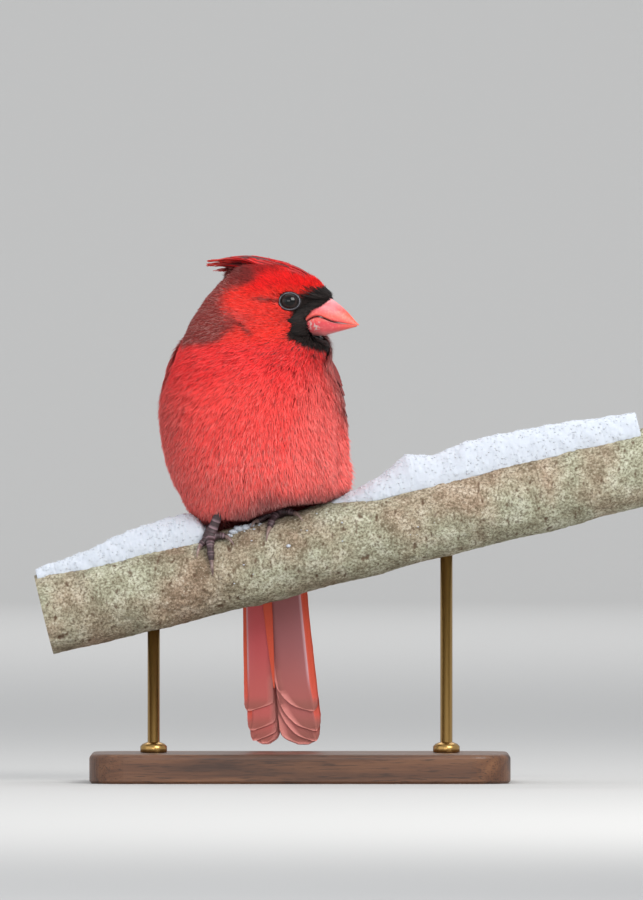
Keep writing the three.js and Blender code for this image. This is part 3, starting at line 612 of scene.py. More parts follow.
# %% The skin's mesh
down_and_shade = Finish("skin under the coat", roughness=0.9, specular_ior_level=0.1)
down_and_shade.colour(down_and_shade.attribute("tint", "Color"))
rows, columns = reach.shape
skin_all, skin_faces = closed_body(skin_points, skin_points[0].mean(0), skin_points[-1].mean(0))
# darkened to 0.62: partly the down's own colour, partly painted shade between the tufts
skin = build("skin", skin_all, skin_faces, down_and_shade.material, colours=0.62 * plumage_colour(skin_all))
dress(skin, "plumage", "head", "neck", "torso")
print("skin faces:", len(skin.data.polygons))

# %% [markdown]
# Small body feathers end in loose, hair-like barbs, and from a step away a breast looks brushed. Each
# tuft here is a spray of thin pointed blades that rise from the skin and lie along the plumage: back from
# the bill over the head, then down the breast and back. The perch is set down here as well, because
# feathers keep clear of it.

# %% How the plumage lies
BILL_BASE = vec(28, FACE_Y, 189)
PERCH = {"height": 94.35, "slope": np.radians(13.9), "radius": 16.6, "left": -105.0, "right": 145.0}
perch_along = vec(np.cos(PERCH["slope"]), 0, np.sin(PERCH["slope"]))
perch_up = vec(-np.sin(PERCH["slope"]), 0, np.cos(PERCH["slope"]))
perch_front = vec(0, -1, 0)


def from_perch_axis(points):
    offset = points - vec(0, 0, PERCH["height"])
    offset = offset - (offset @ perch_along)[:, None] * perch_along
    return np.linalg.norm(offset, axis=1)


def lie(points, normals):
    """The way the plumage lies at places in the part's frame."""
    p, n = to_bird(points), turn_about_z(normals, -BIRD_TURN)
    from_face = unit(p - BILL_BASE)
    sides = np.abs(n[:, 0])
    low = 1 - ramp(p[:, 2], 108, 130)
    splay = np.where(p[:, 0] < 4, 0.013, 0.007) * (p[:, 0] - 4)
    downward = np.stack([splay, 0.15 + 0.4 * sides + 0.5 * low, np.full(len(p), -1.0)], -1)
    head_share = ramp(p[:, 2], 112, 180)[:, None]
    way = head_share * from_face + (1 - head_share) * unit(downward)
    way = turn_about_z(way, BIRD_TURN)
    return unit(way - np.sum(way * normals, 1)[:, None] * normals)


def eye_centre(side):
    """The middle of an eye's rim and the way it looks, in the part's frame."""
    out = unit(vec(0.24, side, 0.05))
    return to_world(vec(EYE["x"], FACE_Y + side * EYE["surface"], EYE["z"])), turn_about_z(out, BIRD_TURN)


def near_eyes(points, distance):
    close = np.zeros(len(points), dtype=bool)
    for side in (-1, 1):
        close |= np.linalg.norm(points - eye_centre(side)[0], axis=1) < distance
    return close


print("the plumage lies back from", to_world(BILL_BASE).round(1))

# %% [markdown]
# Tens of thousands of tufts are strewn over the skin, in proportion to its area and closer together on
# the head, where feathers are small. Those under a wing, in the bill, at a leg, in an eye or on the perch
# are left out.

# %% Where tufts grow
rng = np.random.default_rng(11)
TUFTS = 31500
cell_area = np.linalg.norm(
    np.cross(np.roll(skin_points, -1, 1)[:-1] - skin_points[:-1], skin_points[1:] - skin_points[:-1]),
    axis=-1
)
cell_bird = to_bird(skin_points[:-1])
crowd = 1 + 1.6 * ramp(cell_bird[..., 2], 170, 186)
chance = (cell_area * crowd).ravel()
picks = rng.choice(chance.size, size=int(TUFTS * 1.75), p=chance / chance.sum())
at_level = picks // columns + rng.random(len(picks))
at_angle = (picks % columns + rng.random(len(picks))) * ANGLE_STEP
roots = on_grid(skin_points, at_angle, at_level)
root_normals = unit(on_grid(outline_normals, at_angle, at_level))
root_depth = on_grid(depth, at_angle, at_level)
root_lie = lie(roots, root_normals)
root_map = skin_map(at_angle, at_level)

wing_tree = tree_of("wing_left", "wing_right")
leg_tree = tree_of("foot_left", "foot_right", "leg_left", "leg_right")
bill_tree = tree_of("bill_upper", "bill_lower")
ahead = turn_about_z(vec(0, -0.8, 0), BIRD_TURN)
under_wing = np.array([
    wing_tree.ray_cast(Vector(p - n), Vector(n), 7.5)[0] is not None
    and wing_tree.ray_cast(Vector(p - n), Vector(n + ahead).normalized(), 9)[0] is not None
    for p, n in zip(roots, root_normals)
])
at_bill = np.array(
    [bill_tree.find_nearest(Vector(p + n * 0.5), 0.8)[0] is not None for p, n in zip(roots, root_normals)]
)
at_leg = np.array([leg_tree.find_nearest(Vector(p), 0.6)[0] is not None for p in roots])
on_perch = from_perch_axis(roots + root_normals * 2.5) < PERCH["radius"] + 0.8
grows = ~(under_wing | at_bill | at_leg | on_perch | near_eyes(roots, 3.9))
keep = np.flatnonzero(grows)[:TUFTS]
print("tufts:", len(keep), "left out under wings, bill, legs and on the perch:", int((~grows).sum()))

# %% [markdown]
# A blade is a shallow roof of four faces: two long ones that meet in a ridge, and two that close to the
# tip. The ridge catches the light as a barb does and costs far fewer faces than a tube. Separate objects
# would be slow, so whole regions are made as single meshes straight from arrays.

# %% Blades from arrays
# For a blade's seven points, root to tip: brightness, darker at the root as painted shade deep in the coat,
# share of the end colour and share of the worn tip
BLADE_SHADE = np.array([0.5, 0.5, 0.6, 0.86, 0.86, 1.0, 1.05])
END_SHARE = np.array([0, 0, 0, 0.3, 0.3, 0.4, 1])
WORN_SHARE = np.array([0, 0, 0, 0.35, 0.35, 0.5, 1])
WORN_TIP = np.array([1.0, 0.62, 0.55])
MAP_SPOTS = np.array([[-1, -1], [1, -1], [0, -1], [-1, 0], [1, 0], [0, 0], [0, 1]]) * 0.0015


def blades(root, normal, way, length, width, rise, sway, root_uv, colour, end_colour, tip_light):
    """Points, faces, colours and map places of one blade for each root."""
    across = unit(np.cross(way, normal))
    middle = (
        root + way * (0.5 * length)[:, None] + normal * (0.68 * rise)[:, None]
        + across * (0.35 * sway)[:, None]
    )
    tip = root + way * length[:, None] + normal * rise[:, None] + across * sway[:, None]
    half = across * (width / 2)[:, None]
    ridge = normal * (0.3 * width)[:, None]
    low_points = [root - half * 0.7, root + half * 0.7, root + ridge]
    points = np.stack(low_points + [middle - half, middle + half, middle + ridge, tip], 1)
    start = 7 * np.arange(len(root))[:, None]
    quads = np.concatenate([start + np.array([0, 2, 5, 3]), start + np.array([2, 1, 4, 5])])
    tris = np.concatenate([start + np.array([3, 5, 6]), start + np.array([5, 4, 6])])
    end_share = END_SHARE[None, :, None]
    tints = colour[:, None, :] * (1 - end_share) + end_colour[:, None, :] * end_share
    tints = tints * BLADE_SHADE[None, :, None]
    tints = tints + (WORN_TIP - tints) * (tip_light[:, None] * WORN_SHARE)[..., None]
    maps = root_uv[:, None, :] + MAP_SPOTS[None]
    return points.reshape(-1, 3), quads, tris, tints.reshape(-1, 3), maps.reshape(-1, 2)


print("points in a blade:", len(BLADE_SHADE))

# %% [markdown]
# A tuft is a spray of such blades round one root. Each blade differs a little from the next in length,
# width, lift, sway and tone, as barbs do, and about one in eight is dark: painted shade that reads as a
# gap between feathers.

# %% Sprays of blades
BLADES = 6
PALE_LIMIT, DARK_LIMIT = 0.95, 0.002


def spray(place, normal, way, length, width, depth, uv, dice):
    """Several blades at each place, spread like a fan, with a little difference between any two."""
    which = np.repeat(np.arange(len(place)), BLADES)
    count = len(which)
    normal, way = normal[which], way[which]
    side_way = np.cross(way, normal)
    way = unit(way + side_way * dice.normal(0, 0.2, count)[:, None])
    root = place[which] + side_way * dice.normal(0, 0.35, count)[:, None]
    root = root + way * dice.normal(0, 0.5, count)[:, None]
    length = length[which] * dice.uniform(0.7, 1.25, count)
    width = width[which] * dice.uniform(0.65, 1.3, count)
    rise = depth[which] * dice.uniform(0.3, 1.12, count)
    sway = dice.normal(0, 0.08, count) * length
    # about one blade in eight darkened as painted shade in the gaps between feathers
    tone = np.where(dice.random(count) < 0.13, 0.62, 1.0) * dice.normal(1, 0.12, count)
    return {
        "root": root, "normal": normal, "way": way, "length": length, "width": width, "rise": rise,
        "sway": sway, "uv": uv[which], "tone": tone, "which": which,
    }


def toned(b, colours):
    """Colours for blades, each with its blade's own tone."""
    return np.clip(colours * b["tone"][:, None], DARK_LIMIT, PALE_LIMIT)


tuft_bird = to_bird(roots[keep])
tz, tx = tuft_bird[:, 2], tuft_bird[:, 0]
on_head = ramp(tz, 172, 192)
face = 1 - ramp(np.linalg.norm(tuft_bird - vec(29, FACE_Y, 190), axis=1), 8, 20)
hem = (1 - ramp(tz, 106, 126)) * ramp(-tx, 10, 24)
tuft_length = (5.8 - 2.0 * on_head) * (1 - 0.45 * face) * (1 + 0.6 * hem)
tuft_width = (0.42 - 0.12 * on_head) * (1 - 0.2 * face)
stray = rng.normal(0, 1, (len(keep), 3)) * (1.3 - 1.0 * face)[:, None]
coat = spray(
    roots[keep], root_normals[keep], root_lie[keep], tuft_length, tuft_width, root_depth[keep],
    root_map[keep], rng
)
print("blades in the coat:", len(coat["root"]))

# %% [markdown]
# A blade takes its colour from two places: half way along it and at its tip, both shifted at random. That
# breaks up the edges between markings as real feathers do. Tips on the breast are worn pale, those on the
# crown are not.

# %% Colours of the coat
tips = coat["root"] + coat["way"] * coat["length"][:, None] + coat["normal"] * coat["rise"][:, None]
loose = 0.35 + 0.9 * ramp(-tx, -3, 6) * ramp(tz, 178, 186)
wander = (loose[:, None] * stray)[coat["which"]] + rng.normal(0, 0.25, tips.shape)
halfway = coat["root"] + coat["way"] * (0.45 * coat["length"])[:, None]
for key, place, share in (("colour", halfway, 0.5), ("end", tips - 0.4 * coat["way"], 0.6)):
    coat[key] = toned(coat, plumage_colour(place + share * wander))
below_hem = (tips[:, 1] < 4) & (tips[:, 2] < np.interp(tips[:, 0], *HEM.T) - 0.6)
clear = ~near_eyes(tips, 4.0) & ~(from_perch_axis(tips) < PERCH["radius"] + 0.3) & ~below_hem
low_share = 1 - ramp(tz[coat["which"]], 130, 168)
pale = 0.02 + 0.05 * low_share + (0.12 + 0.2 * low_share) * rng.random(len(tips)) ** 3
dusky = (coat["end"].max(1) < 0.36) & (tips[:, 2] > 170) & (tx[coat["which"]] < -5)
pale = np.where(dusky, 0.03 + 0.4 * rng.random(len(tips)) ** 4, pale)
pure_tuft = (tz > 198) & (tx > 0)
coat["pale"] = np.where((coat["end"].max(1) < 0.1) | pure_tuft[coat["which"]], 0.02, pale)
print("blades cut away at the eyes, the hem and the perch:", int((~clear).sum()))

# %% [markdown]
# The coat is cut into regions of equal count by height, so that no single mesh is too heavy. All share
# one finish, which is soft, hardly shiny and coloured by the blades themselves.

# %% The coat in regions
plumage = Finish(
    "body feathers", roughness=0.62, specular_ior_level=0.14, sheen_weight=0.04, sheen_roughness=0.5
)
plumage.colour(plumage.attribute("tint", "Color"))
BLADE_KEYS = ("root", "normal", "way", "length", "width", "rise", "sway", "uv", "colour", "end", "pale")
REGIONS = [
    "vent", "belly", "flanks", "breast_low", "breast_high", "shoulders", "throat", "cheeks", "crown"
]


def coat_piece(name, b, mask=slice(None)):
    points, quads, tris, tints, maps = blades(*(b[key][mask] for key in BLADE_KEYS))
    piece = build(
        "coat_" + name, points, [quads, tris], plumage.material, tints, uv=maps, uv_name="OFBake"
    )
    print(name, "faces as triangles:", 2 * len(quads) + len(tris))
    return dress(piece, "plumage")


height_of_blade = tz[coat["which"]]
limits = np.quantile(height_of_blade, np.linspace(0, 1, len(REGIONS) + 1))
limits[-1] += 1
for name, low, high in zip(REGIONS, limits[:-1], limits[1:]):
    coat_piece(name, coat, clear & (height_of_blade >= low) & (height_of_blade < high))

# %% [markdown]
# Flight feathers are stiff vanes: a shaft, and on each side a web of barbs that slant towards the tip.
# Each is made as a thin closed shell with nine points across, so that the shaft can stand proud and take
# its own colour, and the web can curve. A number runs along the slanted barbs, and the finish draws fine
# stripes along it.

# %% Vane maker
ACROSS = np.array([-1, -0.72, -0.4, -0.08, 0, 0.08, 0.4, 0.72, 1.0])


def vane(
    path, facing, width, shape, thickness=0.22, camber=0.06, shaft=0.12, shaft_place=0.0, seed=0,
    share=None, along=None,
):
    """A feather along a path. shape gives the share of its full width at a share of its length."""
    path, facing = np.asarray(path), unit(facing)
    rows = len(path)
    along = unit(np.gradient(path, axis=0)) if along is None else along
    across = unit(np.cross(along, facing))
    share = np.linspace(0, 1, rows) if share is None else share
    noise_row = np.random.default_rng(seed).normal(0, 1, (2, rows))
    half = np.array([shape(t) for t in share]) * width / 2
    place = ACROSS + shaft_place * (1 - np.abs(ACROSS))
    ragged = 1 + 0.008 * noise_row[(ACROSS > 0).astype(int)].T * (np.abs(ACROSS) == 1)
    offset = half[:, None] * place[None] * ragged
    lift = -camber * np.abs(place - shaft_place)[None] ** 2 * half[:, None]
    lift = lift + shaft * spot(ACROSS / 0.05)[None]
    spread = path[:, None] + across[:, None] * offset[..., None]
    upper = spread + facing[:, None] * (lift + thickness / 2)[..., None]
    lower = spread + facing[:, None] * (lift * 0.6 - thickness / 2)[..., None]
    n = len(ACROSS)
    points = np.concatenate([upper.reshape(-1, 3), lower.reshape(-1, 3)])
    top_face = sheet(rows, n)
    low_face = sheet(rows, n, start=rows * n)[:, ::-1]
    rim = [r * n for r in range(rows)] + [(rows - 1) * n + c for c in range(1, n)]
    rim += [r * n + n - 1 for r in range(rows - 2, -1, -1)] + [c for c in range(n - 2, 0, -1)]
    rim = np.array(rim)
    nxt = np.roll(rim, -1)
    edge = np.stack([rim, rim + rows * n, nxt + rows * n, nxt], -1)
    distance = run_along(path)
    barb = distance[:, None] + 0.9 * np.abs(offset - offset[:, 4:5])
    numbers = {
        "barb": barb,
        "u": np.broadcast_to(ACROSS[None], (rows, n)),
        "v": np.broadcast_to(share[:, None], (rows, n)),
    }
    both_sides = {key: np.tile(value.ravel(), 2) for key, value in numbers.items()}
    return {"points": points, "faces": [top_face, low_face, edge], **both_sides}


def fuse(vanes):
    """Many vanes as one set of arrays."""
    out = {"points": [], "faces": [], "barb": [], "u": [], "v": [], "tint": []}
    start = 0
    for item in vanes:
        out["faces"] += [f + start for f in item["faces"]]
        for key in ("points", "barb", "u", "v", "tint"):
            out[key].append(item[key])
        start += len(item["points"])
    return {key: np.concatenate(value) for key, value in out.items()}


vane_finish = Finish("vaned feathers", roughness=0.5, specular_ior_level=0.22, sheen_weight=0.02)
wave = vane_finish.sine(vane_finish.attribute("barb"), 11.0)
lines = vane_finish.ramp(wave, (0.0, 0.72), (1.0, 1.08))
vane_finish.colour(vane_finish.mix(1.0, vane_finish.attribute("tint", "Color"), lines, "MULTIPLY"))
vane_finish.bump(wave, 0.03, 0.5)


def feather_piece(name, vanes, slot, *nodes):
    made = fuse(vanes)
    piece = build(
        name, made["points"], [made["faces"]], vane_finish.material, made["tint"], {"barb": made["barb"]}
    )
    return dress(piece, slot, *nodes)


print("points across a vane:", len(ACROSS))

# %% [markdown]
# A folded wing is a stack of fans: the long primaries, the secondaries and three tertials over them, and
# rows of coverts that hide their roots. The layout is drawn flat, with the length from the shoulder to
# the tip and the depth from the leading edge to the back, and then wrapped round the side that the rays
# found, as the solids' wing is.

# %% A wing's surface
WING = {"radius": 36.0, "lead": -8.0, "tip_angle": 72.0, "tip_height": 93.0, "shoulder": 168.0}
wing_start = vec(np.radians(WING["lead"]) * WING["radius"], WING["shoulder"])
wing_end = vec(np.radians(WING["tip_angle"]) * WING["radius"], WING["tip_height"])
WING_LENGTH = float(np.linalg.norm(wing_end - wing_start))
wing_way = (wing_end - wing_start) / WING_LENGTH


def wing_spot(side, along, deep):
    """The angle round the body and the level number of a place on a wing."""
    round_way = wing_start[0] + wing_way[0] * along - wing_way[1] * deep
    z = wing_start[1] + wing_way[1] * along + wing_way[0] * deep
    angle = np.degrees(round_way / WING["radius"])
    return (angle if side > 0 else 180 - angle), level_of(z)


def on_wing(side, along, deep, lift):
    """Points and outward directions on a wing, in the part's frame."""
    angle, level = wing_spot(side, along, deep)
    normal = unit(on_grid(outline_normals, angle, level))
    return on_grid(outline, angle, level) + normal * np.asarray(lift)[..., None], normal


print("wing length:", round(WING_LENGTH, 1), "mm")

# %% [markdown]
# A wing feather runs between two places on that surface. It rolls a little about its length, so that its
# outer edge lies over its neighbour. Outer webs are red, inner webs are grey-brown, and only the outer
# ones show when folded.

# %% Wing feathers
def wing_shape(t):
    return min(1.0, 0.5 + 1.6 * t) * (1 - ramp(t, 0.8, 1.0) ** 2 * 0.93)


def wing_feather(side, start, end, lift, width, colours, rows, seed):
    share = np.linspace(0, 1, rows)
    along = start[0] + (end[0] - start[0]) * share
    deep = start[1] + (end[1] - start[1]) * share
    path, normal = on_wing(side, along, deep, lift[0] + (lift[1] - lift[0]) * share)
    across = unit(np.cross(np.gradient(path, axis=0), normal))
    facing = unit(normal + across * (0.105 * side))
    item = vane(path, facing, width, wing_shape, camber=0.05, shaft_place=-0.35 * side, seed=seed)
    outer, inner, shaft_colour = colours
    web = mixed(outer, inner, ramp(item["u"] * side, -0.1, 0.25))
    tip = mixed(web, web * 0.7, ramp(item["v"], 0.8, 1.0))
    item["tint"] = mixed(tip, shaft_colour, 0.7 * spot(item["u"] / 0.06))
    return item


WING_TINTS = {
    "flight": (linear(176, 58, 50), linear(96, 62, 58), linear(96, 52, 48)),
    "tertial": (linear(150, 58, 52), linear(104, 66, 62), linear(88, 52, 50)),
    "covert": (linear(176, 60, 54), linear(140, 58, 54), linear(120, 56, 52)),
    "small": (linear(158, 54, 50), linear(150, 58, 54), linear(120, 50, 48)),
}


def wing_vanes(side):
    made = []

    def add(start, end, lift, width, kind, rows=12):
        seed = len(made) + 50 * side + 99
        made.append(wing_feather(side, start, end, lift, width, WING_TINTS[kind], rows, seed))

    for i in range(9):
        reach_to = WING_LENGTH - 5 * i - (0 if i else 3)
        add((18, 3 + 1.2 * i), (reach_to, 1.6 + 1.3 * i), (1.0, 0.55 + 0.13 * i), 6.6, "flight", rows=18)
    for i in range(6):
        add(
            (16, 9 + 1.8 * i), (61 - 1.6 * i, 10.5 + 2.2 * i), (1.6, 1.7 + 0.15 * i), 7.4, "flight",
            rows=16,
        )
    for i in range(3):
        add((16, 16 + 2 * i), (52 - 7 * i, 22 + 2 * i), (2.1, 2.5 + 0.3 * i), 9, "tertial", rows=14)
    for i in range(5):
        add((12, 2.5 + 1.0 * i), (41 - 1.8 * i, 1.9 + 1.3 * i), (1.5, 1.6 + 0.13 * i), 4.6, "covert")
    for i in range(9):
        add((13, 2.6 + 1.9 * i), (33.5 - 0.4 * i, 3.2 + 2.5 * i), (2.1, 2.35 + 0.08 * i), 5.2, "covert")
    for row, reach_to, wide in ((0, 24.0, 5.0), (1, 18.5, 4.8), (2, 13.5, 4.4), (3, 9.0, 4.0)):
        number = 9 - row
        for i in range(number):
            deep = 1.4 + (20.0 - 2.2 * row) * i / (number - 1)
            start = max(1.0, reach_to - 11 + 0.12 * i)
            lift = (1.8 + 0.1 * row, 2.75 + 0.22 * row + 0.03 * i)
            add((start, deep * 0.86), (reach_to - 0.2 * i, deep), lift, wide, "small", rows=9)
    return made


for side, name in ((1, "left"), (-1, "right")):
    wing = feather_piece("wing_feathers_" + name, wing_vanes(side), "wing", "wing_" + name)
    print("wing", name, "faces:", len(wing.data.polygons))

# %% [markdown]
# Breast feathers lap over the folded wing's leading edge and the shoulder, so that only a sliver of wing
# shows from in front. These tufts root on the wing's own surface and lie as their neighbours on the
# breast do.

# %% Feathers over the wing's edge
def wing_lap(side, dice):
    edge = 1500
    along = np.concatenate([dice.uniform(-3.8, 58, edge), dice.uniform(-4.6, 10, 900)])
    deep = np.concatenate([-3.5 + 7.5 * dice.random(edge) ** 1.3, dice.uniform(-2, 23, 900)])
    place, normal = on_wing(
        side, along, deep, np.interp(deep, [-3.5, -0.5, 1.5, 4], [-1.6, -0.4, 0.9, 1.4])
    )
    angle, level = wing_spot(side, along, deep)
    way = lie(place, normal)
    colour = plumage_colour(place + way * 3)
    grey = RED["flank_left_shaded"] * 0.9
    share = np.clip(0.25 + deep / 8, 0, 0.9)[:, None] * (along < 60)[:, None]
    colour = colour + (grey - colour) * share * (side < 0) + (RED["back"] - colour) * share * (side > 0)
    length, width, depth = (np.full(len(along), value) for value in (5.6, 0.4, 1.1))
    b = spray(place, normal, way, length, width, depth, skin_map(angle % 360, level), dice)
    b["colour"] = b["end"] = toned(b, colour[b["which"]])
    b["pale"] = 0.08 + 0.35 * dice.random(len(b["root"])) ** 2
    return b


for side, name in ((1, "left"), (-1, "right")):
    coat_piece("over_wing_" + name, wing_lap(side, np.random.default_rng(40 + side)))

# %% [markdown]
# Short black bristles cover the base of the bill. They root just behind the edge of the feathers and
# point forwards over the horn. Rays from each side find both ends of a bristle, on the face or on the
# bill.

# %% Bristles
face_tree = tree_of("head", "bill_upper", "bill_lower")


def beside_face(x, z, side):
    """Places on the side of the face, found by rays from that side, and whether each ray hit it."""
    start = to_world(np.stack([x, np.full(len(x), FACE_Y + side * 40.0), z], -1))
    aim = Vector(turn_about_z(vec(0, -side, 0), BIRD_TURN))
    hits = [face_tree.ray_cast(Vector(p), aim) for p in start]
    good = np.array([h[0] is not None for h in hits])
    place = np.array([h[0] if h[0] is not None else (0, 0, 0) for h in hits])
    return place, good


def bristles(dice):
    parts = []
    for side in (-1, 1):
        number = 2000
        z = dice.uniform(183.2, 199.9, number)
        tip_x = np.interp(z, *BILL_EDGE.T) + dice.normal(0, 0.35, number)
        root_x = tip_x - dice.uniform(1.0, 5.0, number)
        lower = z - 0.18 * (tip_x - 28)
        root, good_a = beside_face(root_x, z, side)
        tip, good_b = beside_face(tip_x, lower, side)
        good = good_a & good_b
        parts.append((root[good], tip[good]))
    # and across the forehead, down onto the ridge of the bill
    number = 900
    angle, z = dice.normal(0, 12, number) % 360, 199.4 + 4.4 * dice.random(number) ** 1.8
    root = on_grid(outline, angle, level_of(z)) - 0.4 * on_grid(outline_normals, angle, level_of(z))
    off = (to_bird(root)[:, 1] - FACE_Y) * 0.8
    reach_x = 33.4 - 0.16 * np.abs(off) + dice.normal(0, 0.4, number)
    tip = to_world(
        np.stack([reach_x, FACE_Y + off, 199.5 - 0.3 * np.abs(off) + dice.normal(0, 0.3, number)], -1)
    )
    parts.append((root, root + (tip - root) * dice.uniform(0.55, 1.0, (number, 1))))
    root = np.concatenate([a for a, _ in parts])
    tip = np.concatenate([b for _, b in parts])
    away = unit(tip - to_world(vec(26, FACE_Y, 190)))
    length = np.linalg.norm(tip - root, axis=1)
    way = unit(tip - root)
    normal = unit(away - np.sum(away * way, 1)[:, None] * way)
    count = len(root)
    tint = RED["mask"] * (0.5 + 3.2 * dice.random((count, 1)) ** 2)
    uv = np.stack([0.005 + 0.99 * dice.random(count) * 0.06, 0.45 + 0.2 * dice.random(count)], -1)
    return {
        "root": root + normal * 0.1, "normal": normal, "way": way, "length": length,
        "width": dice.uniform(0.2, 0.4, count), "rise": dice.uniform(0.1, 0.7, count),
        "sway": dice.normal(0, 0.35, count), "uv": uv, "colour": tint, "end": tint,
        "pale": np.full(count, 0.01),
    }


coat_piece("bristles", bristles(np.random.default_rng(8)))

# %% [markdown]
# In front of the throat a few loose dark hairs stand away from the bib, finer than anything else on the
# bird.

# %% Loose hairs
def loose_hairs(dice):
    count = 170
    z = dice.uniform(172, 182, count)
    angle = dice.normal(0, 22, count) % 360
    level = level_of(z)
    normal = unit(on_grid(outline_normals, angle, level))
    root = on_grid(outline, angle, level) - normal * 0.6
    way = unit(lie(root, normal) + normal * dice.uniform(0.25, 0.9, count)[:, None])
    normal = unit(normal - np.sum(normal * way, 1)[:, None] * way)
    tint = linear(70, 50, 50) * dice.uniform(0.5, 1.3, (count, 1))
    return {
        "root": root, "normal": normal, "way": way, "length": dice.uniform(3, 7, count),
        "width": np.full(count, 0.2), "rise": dice.uniform(0, 0.8, count),
        "sway": dice.normal(0, 0.5, count), "uv": skin_map(angle, level), "colour": tint, "end": tint,
        "pale": np.full(count, 0.03),
    }


coat_piece("loose_hairs", loose_hairs(np.random.default_rng(9)))

# %% [markdown]
# Twelve tail feathers lie in two stacks under one another, the outermost pair shortest and lowest. The
# photo looks at their undersides: dusky red webs, pale pink shafts near the outer edges, and bright
# orange-red along the edges.

# %% The tail's measures and colours
TAIL = {
    "x": 1.6, "y": 31.0, "z": 97.0, "lean": np.radians(14), "length": 84.6, "step": 0.42,
    "pairs": 6,
}
tail_root = vec(TAIL["x"], TAIL["y"], TAIL["z"])
tail_down = vec(0, np.sin(TAIL["lean"]), -np.cos(TAIL["lean"]))
tail_front = vec(0, -np.cos(TAIL["lean"]), -np.sin(TAIL["lean"]))
TIP_STEPS = (0, 0, 0.6, 2.0, 6.6, 15.2)  # how much shorter each pair is than the longest
SHAFT_PLACES = (0.0, 0.3, 0.45, 0.55, 0.62, 0.66)  # how far each pair's shaft is towards the outer edge
# the tail's colours are raised, and brightened by 1.35 where used: partly their own colour, partly painted
# light against the shade that the branch casts on the tail
TAIL_TINTS = {
    "inner": linear(166, 104, 106),
    "inner_left": linear(206, 92, 96),
    "outer": linear(198, 112, 104),
    "edge": linear(248, 92, 68),
    "shaft": linear(232, 178, 186),
    "tip": linear(150, 100, 88),
    "rim": linear(228, 144, 136),
}
print("tail feathers:", 2 * TAIL["pairs"])

# %% [markdown]
# On the photo's right the inner web of a tip is cut away in a long curve, on its left the tips are blunt,
# and the middle feathers are round. A table for each gives where the two edges run.

# %% Tips of the tail feathers
# Where a tail feather's two edges run near its tip, for shares of its length: -1 is the full inner edge,
# 1 the outer. The keys are 1 for the photo's right, -1 for its left and 0 for the middle.
TIP_EDGES = {
    0: {
        "inner": [(0.0, -1), (0.93, -1), (0.96, -0.9), (0.98, -0.65), (0.992, -0.3), (1.0, 0.0)],
        "outer": [(0.0, 1), (0.93, 1), (0.965, 0.94), (0.985, 0.8), (0.995, 0.6), (1.0, 0.3)],
    },
    1: {
        "inner": [
            (0.0, -1), (0.8, -1), (0.86, -0.9), (0.91, -0.68), (0.95, -0.4), (0.975, -0.12), (0.99, 0.28),
            (1.0, 0.66),
        ],
        "outer": [(0.0, 1), (0.92, 1), (0.955, 0.96), (0.98, 0.88), (0.993, 0.8), (1.0, 0.72)],
    },
    -1: {
        "inner": [
            (0.0, -1), (0.93, -1), (0.955, -0.95), (0.968, -0.6), (0.98, -0.2), (0.99, 0.25), (1.0, 0.6)
        ],
        "outer": [(0.0, 1), (0.95, 1), (0.975, 0.97), (0.988, 0.92), (0.996, 0.86), (1.0, 0.78)],
    },
}


def smooth_line(table, x, shifts):
    """Heights of a line through a table's points, averaged over a few places so that its corners go."""
    return np.mean([np.interp(x + shift, *table.T) for shift in shifts], axis=0)


def tip_edge(side, which, share):
    table = np.array(TIP_EDGES[side][which], dtype=float)
    return smooth_line(table, share, (-0.008, 0, 0.008))


print("the shortest pair ends", TIP_STEPS[-1], "mm above the longest")

# %% [markdown]
# Each feather runs down between an outer and an inner edge, and its shaft lies near the outer one. From
# the front of the tail to its back the pairs grow longer. One lower feather shows as a bright stripe
# between the two stacks.

# %% Tail feathers
def tail_edges(pair, side, share):
    """How far a feather's outer and inner edges are from the tail's middle line, before its tip narrows."""
    if side > 0:
        outer = 9.5 + 0.7 * pair + (3.75 if pair == TAIL["pairs"] - 1 else 5.0) * share
        return outer, outer - (14.1 + 0.5 * pair + 1.8 * share)
    outer = 8.9 + 0.7 * pair + (2.35 + 0.07 * pair) * share
    return -outer, -outer + (7.6 + 0.5 * pair + 2.4 * share)


def tail_path(share, length, across, level):
    return (
        tail_root + length * share[:, None] * tail_down + level * tail_front
        + across[:, None] * vec(1, 0, 0)
    )


def tail_stripe(level):
    """The bright edge of a lower feather, seen between the two stacks, narrowing downwards."""
    share = np.linspace(0.08, 0.86, 24)
    length = TAIL["length"] - TIP_STEPS[-1]
    inner = tail_edges(TAIL["pairs"] - 1, 1, share)[1]
    path = tail_path(share, length, inner, level)
    facing = np.broadcast_to(turn_about_z(tail_front, BIRD_TURN), path.shape)
    item = vane(
        to_world(path), facing, 4.8, lambda t: 1 - 0.92 * t**1.6, thickness=0.1, camber=0, shaft=0.0
    )
    # brightened by 1.35 as painted light, against the shade that the branch casts on the tail
    item["tint"] = np.broadcast_to(np.clip(1.35 * TAIL_TINTS["edge"], 0, 0.95), item["points"].shape)
    return item


